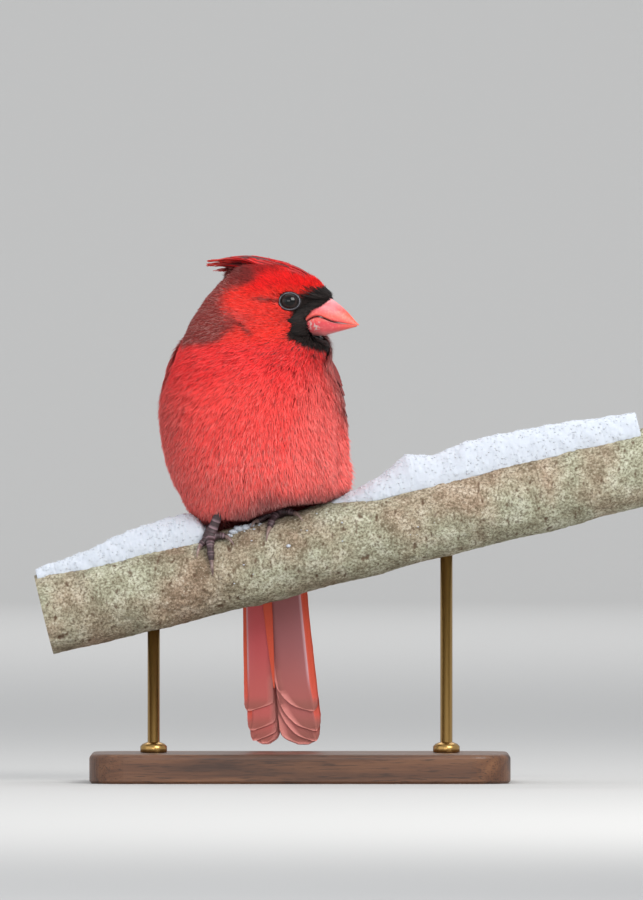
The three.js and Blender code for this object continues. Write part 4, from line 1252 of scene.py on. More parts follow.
def tail_vanes():
    made = []
    for pair in range(TAIL["pairs"]):
        for side in (-1, 1):
            level = (2 * pair + (1 if side > 0 else 0)) * TAIL["step"]
            share = np.concatenate(
                [np.linspace(0.1, 0.8, 12), np.linspace(0.83, 0.95, 7), np.linspace(0.96, 1, 9)]
            )
            outer, inner = tail_edges(pair, side, share)
            kind = side if pair > 2 else 0
            near, far = tip_edge(kind, "inner", share), tip_edge(kind, "outer", share)
            across = (outer + inner) / 2 + (outer - inner) / 2 * (near + far) / 2
            width = np.abs(outer - inner) * (far - near) / 2
            full = float(np.abs(outer - inner).max())
            path = tail_path(share, TAIL["length"] - TIP_STEPS[pair], across, level)
            facing = np.broadcast_to(turn_about_z(tail_front, BIRD_TURN), path.shape)
            shaft_place = -side * (SHAFT_PLACES[pair] + (0.06 if pair == 5 and side < 0 else 0))
            item = vane(
                to_world(path), facing, full,
                lambda t: max(0.03, float(np.interp(t, share, width)) / full), thickness=0.26,
                camber=0.03, shaft=0.22, shaft_place=shaft_place, seed=200 + 7 * pair + side, share=share,
                along=turn_about_z(tail_down, BIRD_TURN),
            )
            u, v = -item["u"] * side, item["v"]
            outer_web = ramp(u, 0.02, 0.06) * (1 - ramp(v, 0.9, 0.97))
            web = TAIL_TINTS["inner"] if side > 0 else TAIL_TINTS["inner_left"]
            tint = mixed(np.broadcast_to(web, (len(u), 3)), TAIL_TINTS["outer"], 0.6 * ramp(v, 0.5, 0.95))
            tint = mixed(tint, TAIL_TINTS["edge"], outer_web * (1 - 0.5 * ramp(v, 0.7, 1.0)))
            tint = mixed(tint, TAIL_TINTS["edge"] * 0.62, 0.8 * spot((u - 0.5) / 0.16) * (1 - v))
            if pair < 2:
                tint = mixed(tint, TAIL_TINTS["edge"], 0.9 * (1 - ramp(v, 0.6, 0.85)))
            tint = mixed(tint, TAIL_TINTS["tip"], 0.6 * ramp(v, 0.9, 0.98))
            rim = np.maximum(ramp(v, 0.985, 0.998), ramp(-u, 0.8, 1.0) * ramp(v, 0.7, 0.85))
            tint = mixed(tint, TAIL_TINTS["rim"], 0.85 * rim)
            line = spot(item["u"] / 0.045) * (1 - ramp(v, 0.72, 0.9))
            # brightened by 1.35 as painted light, against the shade that the branch casts on the tail
            item["tint"] = np.clip(1.35 * mixed(tint, TAIL_TINTS["shaft"], 0.95 * line), 0, 0.95)
            made.append(item)
    return made


def tail_coverts(number, drop, lengths, spreads, offset, slant, tint):
    made = []
    for i in range(number):
        side = 2 * i / (number - 1) - 1
        length = lengths[0] + (lengths[1] - lengths[0]) * abs(side)
        share = np.linspace(0, 1, 12)
        out = side * (spreads[0] + (spreads[1] - spreads[0]) * share)
        path = tail_root + (drop + length * share)[:, None] * tail_down + out[:, None] * vec(1, 0, 0)
        path = path + (offset + slant * (1 - share))[:, None] * tail_front
        facing = tail_front + np.sign(slant) * side * 0.25 * vec(1, 0, 0)
        facing = np.broadcast_to(turn_about_z(facing, BIRD_TURN) * np.sign(slant), path.shape)
        item = vane(to_world(path), facing, 7.4, wing_shape, seed=300 + i + int(length))
        item["tint"] = mixed(tint, 0.75 * tint, ramp(np.abs(item["u"]), 0, 0.4))
        made.append(item)
    return made


stack = (2 * TAIL["pairs"] - 1) * TAIL["step"]
under = tail_coverts(7, 4, (15, 11), (4.5, 6.2), stack + 0.8, 1.4, linear(196, 86, 80))
over = tail_coverts(7, 2, (33, 22), (4.5, 7.2), -0.8, -1.4, linear(150, 56, 50))
tail = feather_piece(
    "tail_feathers", tail_vanes() + [tail_stripe(stack - 0.18)] + under + over, "tail", "tail"
)
print("tail faces:", len(tail.data.polygons))

# %% [markdown]
# The crest is long narrow feathers that root over the crown and sweep back to loose points. They are
# vanes as well, only slimmer. Those from the front of the crown lie along it, and those from its rear
# gather into three bundles.

# %% Crest
CREST_TOP = np.array([
    (-19.2, 213.5), (-12.1, 215.2), (-3.4, 215.9), (1, 215.7), (6.7, 214.7), (13.5, 213.2),
    (19.2, 211.2), (24.1, 208.6), (28.4, 205.2), (31.3, 201.8),
])
CREST_WIDTH = np.array([(-19.2, 0.6), (-12, 1.8), (-5, 4.2), (3, 7.4), (12, 8.6), (20, 8.0), (28, 5.0)])
# How many feathers, where they root along and up, how far they spread, and where their tips are
CREST_GROUPS = [
    (95, (8, 27), None, 1.0, None, None),
    (95, (-1, 13), None, 1.0, -19.3, 213.6),
    (64, (-4, 5), (211.4, 214.4), 7.0, -19.4, 211.9),
    (26, (-7, 0), (209.2, 211.6), 5.0, -16.8, 209.6),
]


def crest_vanes():
    made = []
    dice = np.random.default_rng(5)
    t = np.linspace(0, 1, 10)
    for count, root_range, root_heights, spread, tip_x, tip_z in CREST_GROUPS:
        for i in range(count):
            root_x, side = dice.uniform(*root_range), dice.uniform(-1, 1)
            end_x = root_x - dice.uniform(13, 18) if tip_x is None else tip_x + abs(dice.normal(0, 4.6))
            x = root_x + (end_x - root_x) * t
            if root_heights is None:
                off = side * np.interp(x, *CREST_WIDTH.T)
                sunk = 1.5 * (1 - ramp(t, 0, 0.3)) + dice.uniform(0.0, 0.5)
                z = np.interp(x, *CREST_TOP.T) - 0.042 * off**2 - sunk
                if tip_x is not None:
                    z = z - dice.uniform(0, 1.9) * ramp(-x, -5, 6) * (1 - ramp(-x, 9, 18))
                    z = z + (tip_z + dice.normal(0, 0.25) - z) * ramp(-x, 10, 20)
            else:
                off = side * (spread + (0.8 - spread) * t)
                root_z = dice.uniform(*root_heights) - 0.05 * off[0] ** 2
                z = (
                    root_z + (tip_z + dice.normal(0, 0.3) - root_z) * t
                    + 4 * t * (1 - t) * dice.uniform(0.2, 0.9)
                )
            path = np.stack([x, FACE_Y + off, z], -1)
            facing = np.stack([0 * x, 0.085 * off, np.ones_like(x)], -1)
            item = vane(
                to_world(path), turn_about_z(unit(facing), BIRD_TURN), dice.uniform(1.1, 2.0),
                lambda s: (0.5 + s) * (1 - s) ** 0.85 * 1.5 + 0.02, thickness=0.14, camber=0.12,
                shaft=0.04, seed=int(dice.integers(1e6)),
            )
            # dark maroon roots, more at the rear of the crown, brightening to the tips: partly the crest's
            # own colour, partly painted shade under its bundles
            dark = dice.random() < (0.3 if root_x > 10 else 0.6)
            base = (linear(96, 2, 6) if dark else linear(206, 6, 8)) * dice.uniform(0.7, 1.1)
            ends = linear(248, 14, 10) if tip_x is None else linear(236, 64, 52) * dice.uniform(0.75, 1.1)
            start = np.broadcast_to(base, item["points"].shape)
            item["tint"] = mixed(start, ends, 0.9 * ramp(item["v"], 0.5, 1.0))
            made.append(item)
    return made


crest = feather_piece("crest_feathers", crest_vanes(), "plumage")
print("crest feathers:", sum(row[0] for row in CREST_GROUPS), "faces:", len(crest.data.polygons))

# %% [markdown]
# A cardinal's bill is a short deep cone made for cracking seeds. Both halves are lofted along their
# length from the ridge, the underside and the mouth line between them, all smooth curves, so that it
# stays crisp at any size.

# %% Halves of the bill
BILL = {"root": 23.5, "tip": 44.65, "half_width": 7.2, "mouth": 0.42}
RIDGE = np.array([
    (23.5, 200.4), (28, 199.9), (32, 198.7), (33.7, 197.8), (36.1, 196.0), (38.5, 194.0),
    (40.9, 191.6), (43.3, 188.8), (44.7, 186.9),
])
MOUTH = np.array([
    (23, 187.4), (24.7, 189.2), (26.5, 190.3), (28.2, 190.75), (29.5, 190.7), (31.6, 189.8),
    (33.8, 188.8), (36, 188.25), (38, 188), (41, 187.6), (44.7, 187),
])
FLOOR_POINTS = 9  # across the flat inner side of each half


def mouth_line(x):
    return smooth_line(MOUTH, x, (-0.8, -0.4, 0, 0.4, 0.8))


def bill_half(name, upper):
    tip = BILL["tip"] if upper else BILL["tip"] - 0.9
    t = np.linspace(0, 1, 90) ** 0.8
    x = BILL["root"] + (tip - BILL["root"]) * t
    width = BILL["half_width"] * np.maximum(0.02, 1 - np.clip((x - 22) / (BILL["tip"] - 22), 0, 1) ** 1.7)
    sign = 1 if upper else -1
    level = mouth_line(x) + sign * BILL["mouth"] * (1 - 0.8 * ramp(x, 33, 43)) / 2
    ridge = smooth_line(RIDGE, x, np.linspace(-1.6, 1.6, 9))
    chin = np.minimum(182.9 + 0.27 * np.maximum(0, x - 30), mouth_line(x) - 0.3)
    tall = np.maximum(np.abs((ridge if upper else chin) - level), 0.1)
    angle = np.linspace(0, np.pi, 41)
    side = np.cos(angle)[None] * width[:, None]
    over = np.sin(angle)[None] ** 0.92 * tall[:, None]
    points = np.stack(
        [np.broadcast_to(x[:, None], side.shape), FACE_Y + side, level[:, None] + sign * over], -1
    )
    if upper:  # a nostril on each side of the base
        for way in (-1, 1):
            away = np.linalg.norm(
                (points - vec(32.4, FACE_Y + way * 4.4, 196.3)) / vec(0.9, 2.4, 0.55), axis=-1
            )
            points[..., 1] -= way * 0.7 * spot(away)
    shares = np.linspace(-0.9, 0.9, FLOOR_POINTS)
    floor_x = np.broadcast_to(x[:, None], (len(x), FLOOR_POINTS))
    floor_z = np.broadcast_to((level + sign * 0.05)[:, None], floor_x.shape)
    floor = np.stack([floor_x, FACE_Y + shares * width[:, None], floor_z], -1)
    rings = np.concatenate([points, floor], axis=1)
    body, faces = closed_body(rings, rings[0].mean(0), rings[-1].mean(0))
    faces = flipped(faces) if upper else faces
    # shares for the finish: painted shade in the mouth's crease and on each half's flat inner side,
    # and a pale flake on the bird's right side
    lip = 0.75 * spot(over / 0.42) * (1 - 0.75 * ramp(x, 36, 42))[:, None]
    crease_shade = np.append(np.concatenate([lip, np.ones(floor_x.shape)], 1).ravel(), [0, 0])
    flake = spot((body[:, 0] - 27.4) / 2.4, (body[:, 2] - 187.2) / 2.6)
    flake = flake * (body[:, 1] < FACE_Y) * ramp(rough(body, 0.9, 2.0), -0.1, 0.35)
    return build(name, to_world(body), faces, horn.material, numbers={"crease_shade": crease_shade, "flake": flake})


print("bill length along the ridge:", round(BILL["tip"] - BILL["root"], 1), "mm")

# %% [markdown]
# The finish is horn: coral red, paler along the ridge with a painted highlight, warmer at the tip, dark
# with painted shade in the crease of the mouth, with a soft gloss and faint growth lines. Its colours
# follow the place on the bill, and a little light goes through it.

# %% Bill horn
horn = Finish(
    "bill horn", roughness=0.36, specular_ior_level=0.45, subsurface_weight=0.08, subsurface_scale=0.001
)
horn.shader.inputs["Subsurface Radius"].default_value = (1.0, 0.35, 0.25)
horn_place = horn.place()
parts = horn.node("SeparateXYZ", Vector=horn_place).outputs


def share_between(value, low, high):
    """A shader value as a share of the way from low to high, both in metres."""
    made = horn.node("MapRange", Value=value)
    made.inputs["From Min"].default_value = low
    made.inputs["From Max"].default_value = high
    return made.outputs[0]


# coral red by height, with a painted highlight along the ridge at the top
horn_red_with_ridge_highlight = horn.ramp(
    share_between(parts[2], 0.183, 0.200), (0.0, linear(246, 150, 150)), (0.12, linear(224, 92, 98)),
    (0.3, linear(218, 74, 82)), (0.45, linear(236, 88, 74)), (0.6, linear(228, 90, 94)),
    (0.78, linear(240, 138, 144)), (1.0, linear(252, 196, 200)),
)
tip_share = horn.ramp(share_between(parts[0], 0.004, 0.0242), (0.5, 0.0), (1.0, 0.7))
with_tip = horn.mix(tip_share, horn_red_with_ridge_highlight, linear(250, 104, 66))
speckle = horn.node("TexNoise", Vector=horn_place, Scale=900.0, Detail=4.0)
mottle = horn.ramp(speckle.outputs["Fac"], (0.5, 0.0), (0.75, 0.35))
mottled = horn.mix(mottle, with_tip, linear(250, 160, 146))
flake_share = horn.ramp(horn.attribute("flake"), (0.15, 0.0), (0.6, 0.8))
flaked = horn.mix(flake_share, mottled, linear(206, 190, 184))
# painted shade in the mouth's crease
horn.colour(horn.mix(horn.attribute("crease_shade"), flaked, linear(96, 24, 30)))
growth_place = horn.node("Mapping", Vector=horn_place, Scale=(300, 900, 1500)).outputs[0]
growth = horn.node("TexNoise", Vector=growth_place, Scale=1.0, Detail=3.0)
horn.bump(growth.outputs["Fac"], 0.06, 0.35)
bill_top = dress(bill_half("bill_upper_horn", True), "bill", "bill_upper")
bill_low = dress(bill_half("bill_lower_horn", False), "bill", "bill_lower")
print("bill faces:", len(bill_top.data.polygons) + len(bill_low.data.polygons))

# %% [markdown]
# The eye is a dark, wet ball, flattened from front to back. Its brown iris is so dark that it shows only as
# a ring round the pupil. The angle off the ball's axis tells the finish where that ring is.

# %% Eyes
eye_finish = Finish("eye", roughness=0.03, specular_ior_level=0.3)
iris = [(0.0, 0.001), (0.34, 0.001), (0.40, linear(36, 20, 16)), (0.6, linear(22, 14, 12)), (0.7, 0.001)]
eye_finish.colour(eye_finish.ramp(eye_finish.attribute("off_axis"), *iris))


def eye_axes(side):
    """The middle of an eye's rim, the way it looks, and the ways across it and up it."""
    rim, out = eye_centre(side)
    across = unit(np.cross(out, vec(0, 0, 1)))
    return rim, out, across, np.cross(across, out)


def eye_ball(side):
    rim, out, across, up = eye_axes(side)
    centre = rim - EYE["sunk"] * out
    tilt = np.linspace(0, np.pi, 40)[1:-1]
    turn = full_turn(56)
    t, a = np.meshgrid(tilt, turn, indexing="ij")
    ring_dir = np.cos(a)[..., None] * across + EYE["squash"] * np.sin(a)[..., None] * up
    ball = (
        centre + EYE["deep"] * np.cos(t)[..., None] * out
        + EYE["across"] * np.sin(t)[..., None] * ring_dir
    )
    points, faces = closed_body(ball, centre + EYE["deep"] * out, centre - EYE["deep"] * out)
    return points, flipped(faces), np.append(t.ravel() / (np.pi / 2), [0, 2])


for side, name in ((1, "left"), (-1, "right")):
    points, faces, values = eye_ball(side)
    ball = build("eye_ball_" + name, points, faces, eye_finish.material, numbers={"off_axis": values})
    dress(ball, "eye", "eye_" + name)
    print("eye", name, "faces:", len(ball.data.polygons))

# %% [markdown]
# Small things that repeat, such as beads or grains of snow, are set out by Geometry Nodes. A tree gets
# named inputs and ends by making its instances real, and the result is kept as a plain mesh.

# %% Geometry Nodes helpers
def node_group(name, inputs):
    tree = bpy.data.node_groups.new(name, "GeometryNodeTree")
    tree.interface.new_socket("Geometry", in_out="INPUT", socket_type="NodeSocketGeometry")
    for label, kind, value in inputs:
        socket = tree.interface.new_socket(label, in_out="INPUT", socket_type="NodeSocket" + kind)
        socket.default_value = value
    tree.interface.new_socket("Geometry", in_out="OUTPUT", socket_type="NodeSocketGeometry")
    return tree


def wire(tree, *pairs):
    for source, target in pairs:
        tree.links.new(source, target)


def finish_tree(tree, instances, material):
    """Ends a tree: instances made real, given their finish and handed out."""
    real = tree.nodes.new("GeometryNodeRealizeInstances")
    paint = tree.nodes.new("GeometryNodeSetMaterial")
    smooth = tree.nodes.new("GeometryNodeSetShadeSmooth")
    paint.inputs["Material"].default_value = material
    out = tree.nodes.new("NodeGroupOutput")
    wire(
        tree, (instances, real.inputs[0]), (real.outputs[0], smooth.inputs[0]),
        (smooth.outputs[0], paint.inputs[0]), (paint.outputs[0], out.inputs[0]),
    )
    return paint


def grown(name, carrier, tree, values):
    """The carrier's mesh with the tree's result, as a plain mesh of its own."""
    modifier = carrier.modifiers.new(name, "NODES")
    modifier.node_group = tree
    for item in tree.interface.items_tree:
        if item.item_type == "SOCKET" and item.in_out == "INPUT" and item.name in values:
            modifier[item.identifier] = values[item.name]
    evaluated = carrier.evaluated_get(bpy.context.evaluated_depsgraph_get())
    mesh = bpy.data.meshes.new_from_object(evaluated)
    carrier.modifiers.remove(modifier)
    mesh.name = name
    thing = bpy.data.objects.new(name, mesh)
    scene.collection.objects.link(thing)
    return thing


# %% [markdown]
# The bare lid is small horny beads: dark ones at the ball, a thin grey row that catches the light, and dark
# ones at the feathers. The tree puts a ball on every point of a ring, each a little different in size.

# %% Lids of small beads
def lid_finish(name, roughness, low, high):
    made = Finish(name, roughness=roughness, specular_ior_level=0.4)
    grit = made.node("TexNoise", Vector=made.place(), Scale=900.0)
    made.colour(made.ramp(grit.outputs["Fac"], (0.35, low), (0.65, high)))
    return made


lid_skin = lid_finish("lid skin", 0.5, linear(104, 100, 106), linear(150, 148, 156))
dark_lid = lid_finish("dark inner lid", 0.4, linear(14, 11, 11), linear(30, 24, 24))
bead_inputs = [("Bead size", "Float", 0.0004), ("Variation", "Float", 0.25), ("Seed", "Int", 3)]
bead_tree = node_group("beads on points", bead_inputs)
bead_in = bead_tree.nodes.new("NodeGroupInput").outputs
bead = bead_tree.nodes.new("GeometryNodeMeshIcoSphere")
bead.inputs["Subdivisions"].default_value = 1
sizes = bead_tree.nodes.new("FunctionNodeRandomValue")
sizes.inputs[3].default_value = 1.0
instance = bead_tree.nodes.new("GeometryNodeInstanceOnPoints")
low_size = bead_tree.nodes.new("ShaderNodeMath")
low_size.operation = "SUBTRACT"
low_size.inputs[0].default_value = 1
wire(
    bead_tree, (bead_in["Variation"], low_size.inputs[1]), (bead_in["Bead size"], bead.inputs["Radius"]),
    (low_size.outputs[0], sizes.inputs[2]), (bead_in["Seed"], sizes.inputs["Seed"]),
    (bead_in["Geometry"], instance.inputs["Points"]), (bead.outputs["Mesh"], instance.inputs["Instance"]),
    (sizes.outputs[1], instance.inputs["Scale"]),
)
bead_paint = finish_tree(bead_tree, instance.outputs[0], lid_skin.material)


def lid_ring(side, radius, lift, count):
    rim, out, across, up = eye_axes(side)
    a = full_turn(count)[:, None]
    return rim + lift * out + radius * (1.04 * np.cos(a) * across + 0.98 * EYE["squash"] * np.sin(a) * up)


# For each row: rings as radius, lift and number of beads, then the beads' size in metres and their finish
LID_ROWS = [
    ("dark_lid", [(3.5, 0.42, 62), (3.72, 0.3, 66)], 0.00024, dark_lid),
    ("lid", [(4.0, 0.34, 96)], 0.0002, lid_skin),
    ("outer_lid", [(4.3, 0.1, 74), (4.5, -0.15, 76)], 0.00027, dark_lid),
]
for side, name in ((1, "left"), (-1, "right")):
    for label, rings, size, skin_finish in LID_ROWS:
        dots = np.concatenate([lid_ring(side, *ring_values) for ring_values in rings])
        carrier = build("lid_points", dots, [np.arange(3)[None]], skin_finish.material)
        bead_paint.inputs["Material"].default_value = skin_finish.material
        lid = grown(
            label + "_" + name, carrier, bead_tree,
            {"Bead size": size, "Variation": 0.25, "Seed": 3 + side},
        )
        bpy.data.objects.remove(carrier)
        dress(lid, "eye")
print("lid rows on each eye:", len(LID_ROWS))

# %% [markdown]
# Toes are covered in scutes, small horny plates like roof tiles, and end in curved claws. Each toe is a
# tube whose radius steps a little at each scute. Places on the bark are given as a distance along the
# perch and an angle round it, so that the toes wrap the branch as a gripping foot does.

# %% Tubes round the perch
def perch_point(along, angle, distance):
    along, angle, distance = (np.asarray(v, dtype=float)[..., None] for v in (along, angle, distance))
    a = np.radians(angle)
    ray = perch_up * np.cos(a) + perch_front * np.sin(a)
    return vec(0, 0, PERCH["height"]) + perch_along * along + ray * distance


def tube(path, radii, sides=14, up=vec(0, 0, 1), flat=1.0):
    """Points and faces of a closed round tube along a path."""
    path = np.asarray(path)
    way = unit(np.gradient(path, axis=0))
    across = unit(np.cross(way, up))
    over = np.cross(across, way)
    a = full_turn(sides)
    radii = np.asarray(radii)
    if radii.ndim == 1:
        radii = radii[:, None]
    wide, tall = (np.cos(a)[None] * radii)[..., None], (np.sin(a)[None] * radii * flat)[..., None]
    return closed_body(path[:, None] + across[:, None] * wide + over[:, None] * tall, path[0], path[-1])


print("top of the bark under the bird:", perch_point(0, 0, PERCH["radius"]).round(1))

# %% [markdown]
# Each foot has three toes before the bark and one behind. The skin is dark grey-brown, with painted
# highlights on the upper side of its scutes, and the claws are smooth brown horn. The shank goes up into
# the belly's feathers.

# %% Feet
# Places on the bark are (along, angle). A toe is the place where its claw starts and that of the claw's
# tip
FEET = {
    "right": {
        "base": (-34.2, 36),
        "shin": vec(-31.2, -12.8, 115),
        "toes": [
            ((-36, 72), (-36.9, 94)), ((-38.9, 46), (-41.6, 63)), ((-27.8, 41), (-25.4, 59)),
            ((-31.6, -32), (-31.2, -58)),
        ],
    },
    "left": {
        "base": (-4.6, 14),
        "shin": vec(-8.5, -3, 126),
        "toes": [
            ((-9.6, 44), (-12.4, 65)), ((-13.4, 22), (-17.2, 33)), ((1.6, 26), (4.2, 46)),
            ((-4.6, -36), (-4.4, -62)),
        ],
    },
}
foot_skin = Finish("foot skin", roughness=0.5, specular_ior_level=0.4)
foot_noise = foot_skin.node("TexNoise", Vector=foot_skin.place(), Scale=700.0, Detail=5.0)
foot_mottle = foot_skin.ramp(foot_noise.outputs["Fac"], (0.3, 0.7), (0.7, 1.15))
foot_skin.colour(foot_skin.mix(1.0, foot_skin.attribute("tint", "Color"), foot_mottle, "MULTIPLY"))
foot_skin.bump(foot_noise.outputs["Fac"], 0.05, 0.5)
claw_horn = Finish("claw horn", roughness=0.28, specular_ior_level=0.5)
claw_noise = claw_horn.node("TexNoise", Vector=claw_horn.place(), Scale=400.0)
claw_horn.colour(
    claw_horn.ramp(claw_noise.outputs["Fac"], (0.3, linear(96, 76, 74)), (0.7, linear(158, 134, 126)))
)
# the dark skin, and the pale tint of the painted highlights on the scutes
FOOT_TINT, SCUTE_HIGHLIGHT_TINT = linear(54, 38, 40), linear(164, 134, 142)


def scaly_tube(path, radii, step, up, flat=0.92):
    """A tube with scutes: its radius steps along its length, most on its upper side, where the scutes also
    get painted highlights.
    """
    distance = run_along(path)
    saw = (distance / step) % 1.0
    sides = 14
    a = full_turn(sides)
    upper = ramp(np.sin(a), -0.2, 0.7)
    swell = 1 + 0.1 * (1 - saw)[:, None] * upper[None] - 0.02
    points, faces = tube(path, np.asarray(radii)[:, None] * swell, sides, up, flat)
    glint = np.random.default_rng(len(path)).random(99)[(distance / step).astype(int)]
    # painted highlights: the upper side of each scute paler, strongest at its start and more on some scutes
    # than others
    scute_highlight = ((1 - saw) ** 1.6 * (0.05 + 0.8 * glint**2))[:, None] * upper[None]
    tints = FOOT_TINT + (SCUTE_HIGHLIGHT_TINT - FOOT_TINT) * np.append(scute_highlight.ravel(), [0, 0])[:, None]
    return points, faces, tints


def joined(parts):
    points, faces, tints, start = [], [], [], 0
    for item in parts:
        points.append(item[0])
        faces += [f + start for f in item[1]]
        tints.append(item[2] if len(item) > 2 else np.ones_like(item[0]))
        start += len(item[0])
    return np.concatenate(points), faces, np.concatenate(tints)


def pads(t):
    """A toe's swelling at its joints."""
    return 1.0 - 0.15 * np.abs(np.sin(np.pi * t * 2.6)) - 0.26 * t


for name, foot in FEET.items():
    base = foot["base"]
    toes, claws = [], []
    for toe, claw in foot["toes"]:
        t = np.linspace(0, 1, 40)
        lift = 1.15 + 0.5 * np.sin(np.pi * t) + 0.6 * (1 - t)
        run = perch_point(
            base[0] + (toe[0] - base[0]) * t, base[1] + (toe[1] - base[1]) * t, PERCH["radius"] + lift
        )
        up = unit(run[-1] - perch_point(toe[0], toe[1], 0.0))
        toes.append(scaly_tube(run, 2.0 * pads(t) * (1 + 0.55 * spot(t / 0.26)), 1.05, up))
        s = np.linspace(-0.12, 1, 24)
        hook = perch_point(
            toe[0] + (claw[0] - toe[0]) * s, toe[1] + (claw[1] - toe[1]) * s,
            PERCH["radius"] + 1.0 + 1.1 * np.sin(np.pi * np.clip(s, 0, 1)) - 0.45 * s,
        )
        claws.append(tube(hook, 0.95 * np.clip(1 - s, 0, 1) ** 0.75 + 0.05, 12, up, 1.15))
    ankle = perch_point(base[0], base[1], PERCH["radius"] + 2.2)
    t = np.linspace(-0.06, 1, 44)[:, None]
    shank = ankle + (foot["shin"] - ankle) * t
    shank_radius = 1.9 + 1.0 * np.exp(-((t[:, 0] + 0.02) / 0.2) ** 2) + 0.35 * ramp(t[:, 0], 0.7, 1.0)
    toes.append(scaly_tube(shank, shank_radius, 1.5, vec(0, -1, 0)))
    points, faces, tints = joined(toes)
    piece = build("foot_skin_" + name, points, faces, foot_skin.material, tints)
    dress(piece, "leg", "foot_" + name, "leg_" + name)
    points, faces, _ = joined(claws)
    dress(build("claws_" + name, points, faces, claw_horn.material), "leg")
print("toes and claws:", sum(len(f["toes"]) for f in FEET.values()))

# %% [markdown]
# The branch is a living limb with rough grey bark, old twig scars and small corky pores. Its form is a
# grid round the axis, pushed in and out by noise at three sizes, so that the outline breaks up as real
# bark does.

# %% The branch's form
# Old twig scars: place along the branch, angle round it, size and height
KNOTS = [
    (-17, 176, 22, 1.5), (-31, 100, 7, 1.5), (-86, 60, 9, 1.6), (-64, 150, 10, 1.8), (44, 140, 9, 1.7),
    (92, 95, 8, 1.5), (118, 40, 9, 1.3), (25, 215, 11, 2.0), (-50, 250, 10, 1.8),
]


def bark_radius(along, angle):
    wave = (
        0.28 * np.sin(along / 13 + 2 * np.radians(angle))
        + 0.2 * np.sin(along / 6.1 - 3 * np.radians(angle))
    )
    total = PERCH["radius"] - 0.0035 * along + wave
    for at, turn, size, rise in KNOTS:
        swing = (angle - turn + 540) % 360 - 180
        away = np.hypot(along - at, np.radians(swing) * PERCH["radius"]) / size
        total = total + rise * np.exp(-4 * away * away) - 0.9 * rise * np.exp(-60 * away * away)
    return total


ALONG = np.linspace(PERCH["left"] / perch_along[0], PERCH["right"] / perch_along[0], 430)
ROUND = np.arange(0, 360, 2.0)
s_grid, a_grid = np.meshgrid(ALONG, ROUND, indexing="ij")
radius_grid = bark_radius(s_grid, a_grid)
bark_points = perch_point(s_grid, a_grid, radius_grid)
flat_points = bark_points.reshape(-1, 3)
ridges = np.array(
    [noise.fractal(Vector((p[0] / 9, p[1] / 4.5, p[2] / 4.5)), 1.0, 2.0, 4) for p in flat_points]
)
pores = np.array([noise.noise(Vector((p[0] / 1.6, p[1] / 3.2, p[2] / 3.2 + 40))) for p in flat_points])
pit = ramp(pores, 0.42, 0.6)
fine_ridges = np.array(
    [noise.fractal(Vector((p[0] / 2.2, p[1] / 1.6, p[2] / 1.6 + 9)), 0.9, 2.0, 3) for p in flat_points]
)
swing_scar = (a_grid.ravel() - 118 + 540) % 360 - 180
scar_along = s_grid.ravel()
scar_share = spot((scar_along + 44) / 17, swing_scar / 34)
scar_share = np.maximum(scar_share, 0.7 * spot((scar_along + 86) / 12, swing_scar / 26))
push = 0.3 * ridges - 0.3 * pit + (0.16 + 0.5 * scar_share) * fine_ridges
end_fade = np.minimum(1, np.minimum(np.arange(len(ALONG)), np.arange(len(ALONG))[::-1]) / 3)
push = push.reshape(s_grid.shape) * end_fade[:, None] - 0.15
bark_points = perch_point(s_grid, a_grid, radius_grid + push)
print("bark points:", bark_points.shape[0] * bark_points.shape[1])

# %% [markdown]
# Bark is greenish grey with browner patches, pale flecks and dark pits, from noises at several scales. The
# form's pores and scars are passed on as numbers, so that colour and relief agree.

# %% Bark
bark = Finish("bark", roughness=0.88, specular_ior_level=0.2)
bark_place = bark.place()
coarse = bark.node("TexNoise", Vector=bark_place, Scale=110.0, Detail=10.0, Roughness=0.75)
patches = bark.node("TexNoise", Vector=bark_place, Scale=26.0, Detail=4.0)
grain_noise = bark.node("TexNoise", Vector=bark_place, Scale=1000.0, Detail=6.0, Roughness=0.75)
cells = bark.node("TexVoronoi", Vector=bark_place, Scale=620.0)
greens = ((0.34, linear(128, 122, 100)), (0.5, linear(172, 172, 148)), (0.66, linear(206, 206, 186)))
browns = ((0.34, linear(112, 90, 72)), (0.5, linear(164, 140, 118)), (0.66, linear(198, 180, 160)))
green = bark.ramp(coarse.outputs["Fac"], *greens)
brown = bark.ramp(coarse.outputs["Fac"], *browns)
base_bark = bark.mix(bark.ramp(patches.outputs["Fac"], (0.42, 0.9), (0.58, 0.0)), green, brown)
scarred = bark.mix(bark.ramp(bark.attribute("scar"), (0.0, 0.0), (1.0, 0.75)), base_bark, brown)
spotted = bark.mix(
    bark.ramp(grain_noise.outputs["Fac"], (0.4, 0.85), (0.54, 0.0)), scarred, linear(96, 84, 66)
)
flecked = bark.mix(
    bark.ramp(grain_noise.outputs["Fac"], (0.56, 0.0), (0.68, 0.6)), spotted, linear(226, 224, 206)
)
bark.colour(
    bark.mix(bark.ramp(bark.attribute("pit"), (0.0, 0.0), (1.0, 0.8)), flecked, linear(84, 60, 44))
)
bark.bump(bark.mix(0.35, grain_noise.outputs["Color"], cells.outputs["Distance"]), 0.55, 1.0)
branch = build(
    "branch_bark", bark_points.reshape(-1, 3), [sheet(len(ALONG), len(ROUND), closed=True)[:, ::-1]],
    bark.material, numbers={"pit": pit, "scar": scar_share},
)
dress(branch, "bark", "perch_branch")
print("bark faces:", len(branch.data.polygons))

# %% [markdown]
# The cut ends show pale wood with its year rings. A number holds the distance from the middle, a little
# noise makes it uneven, and a wave along it gives the rings.

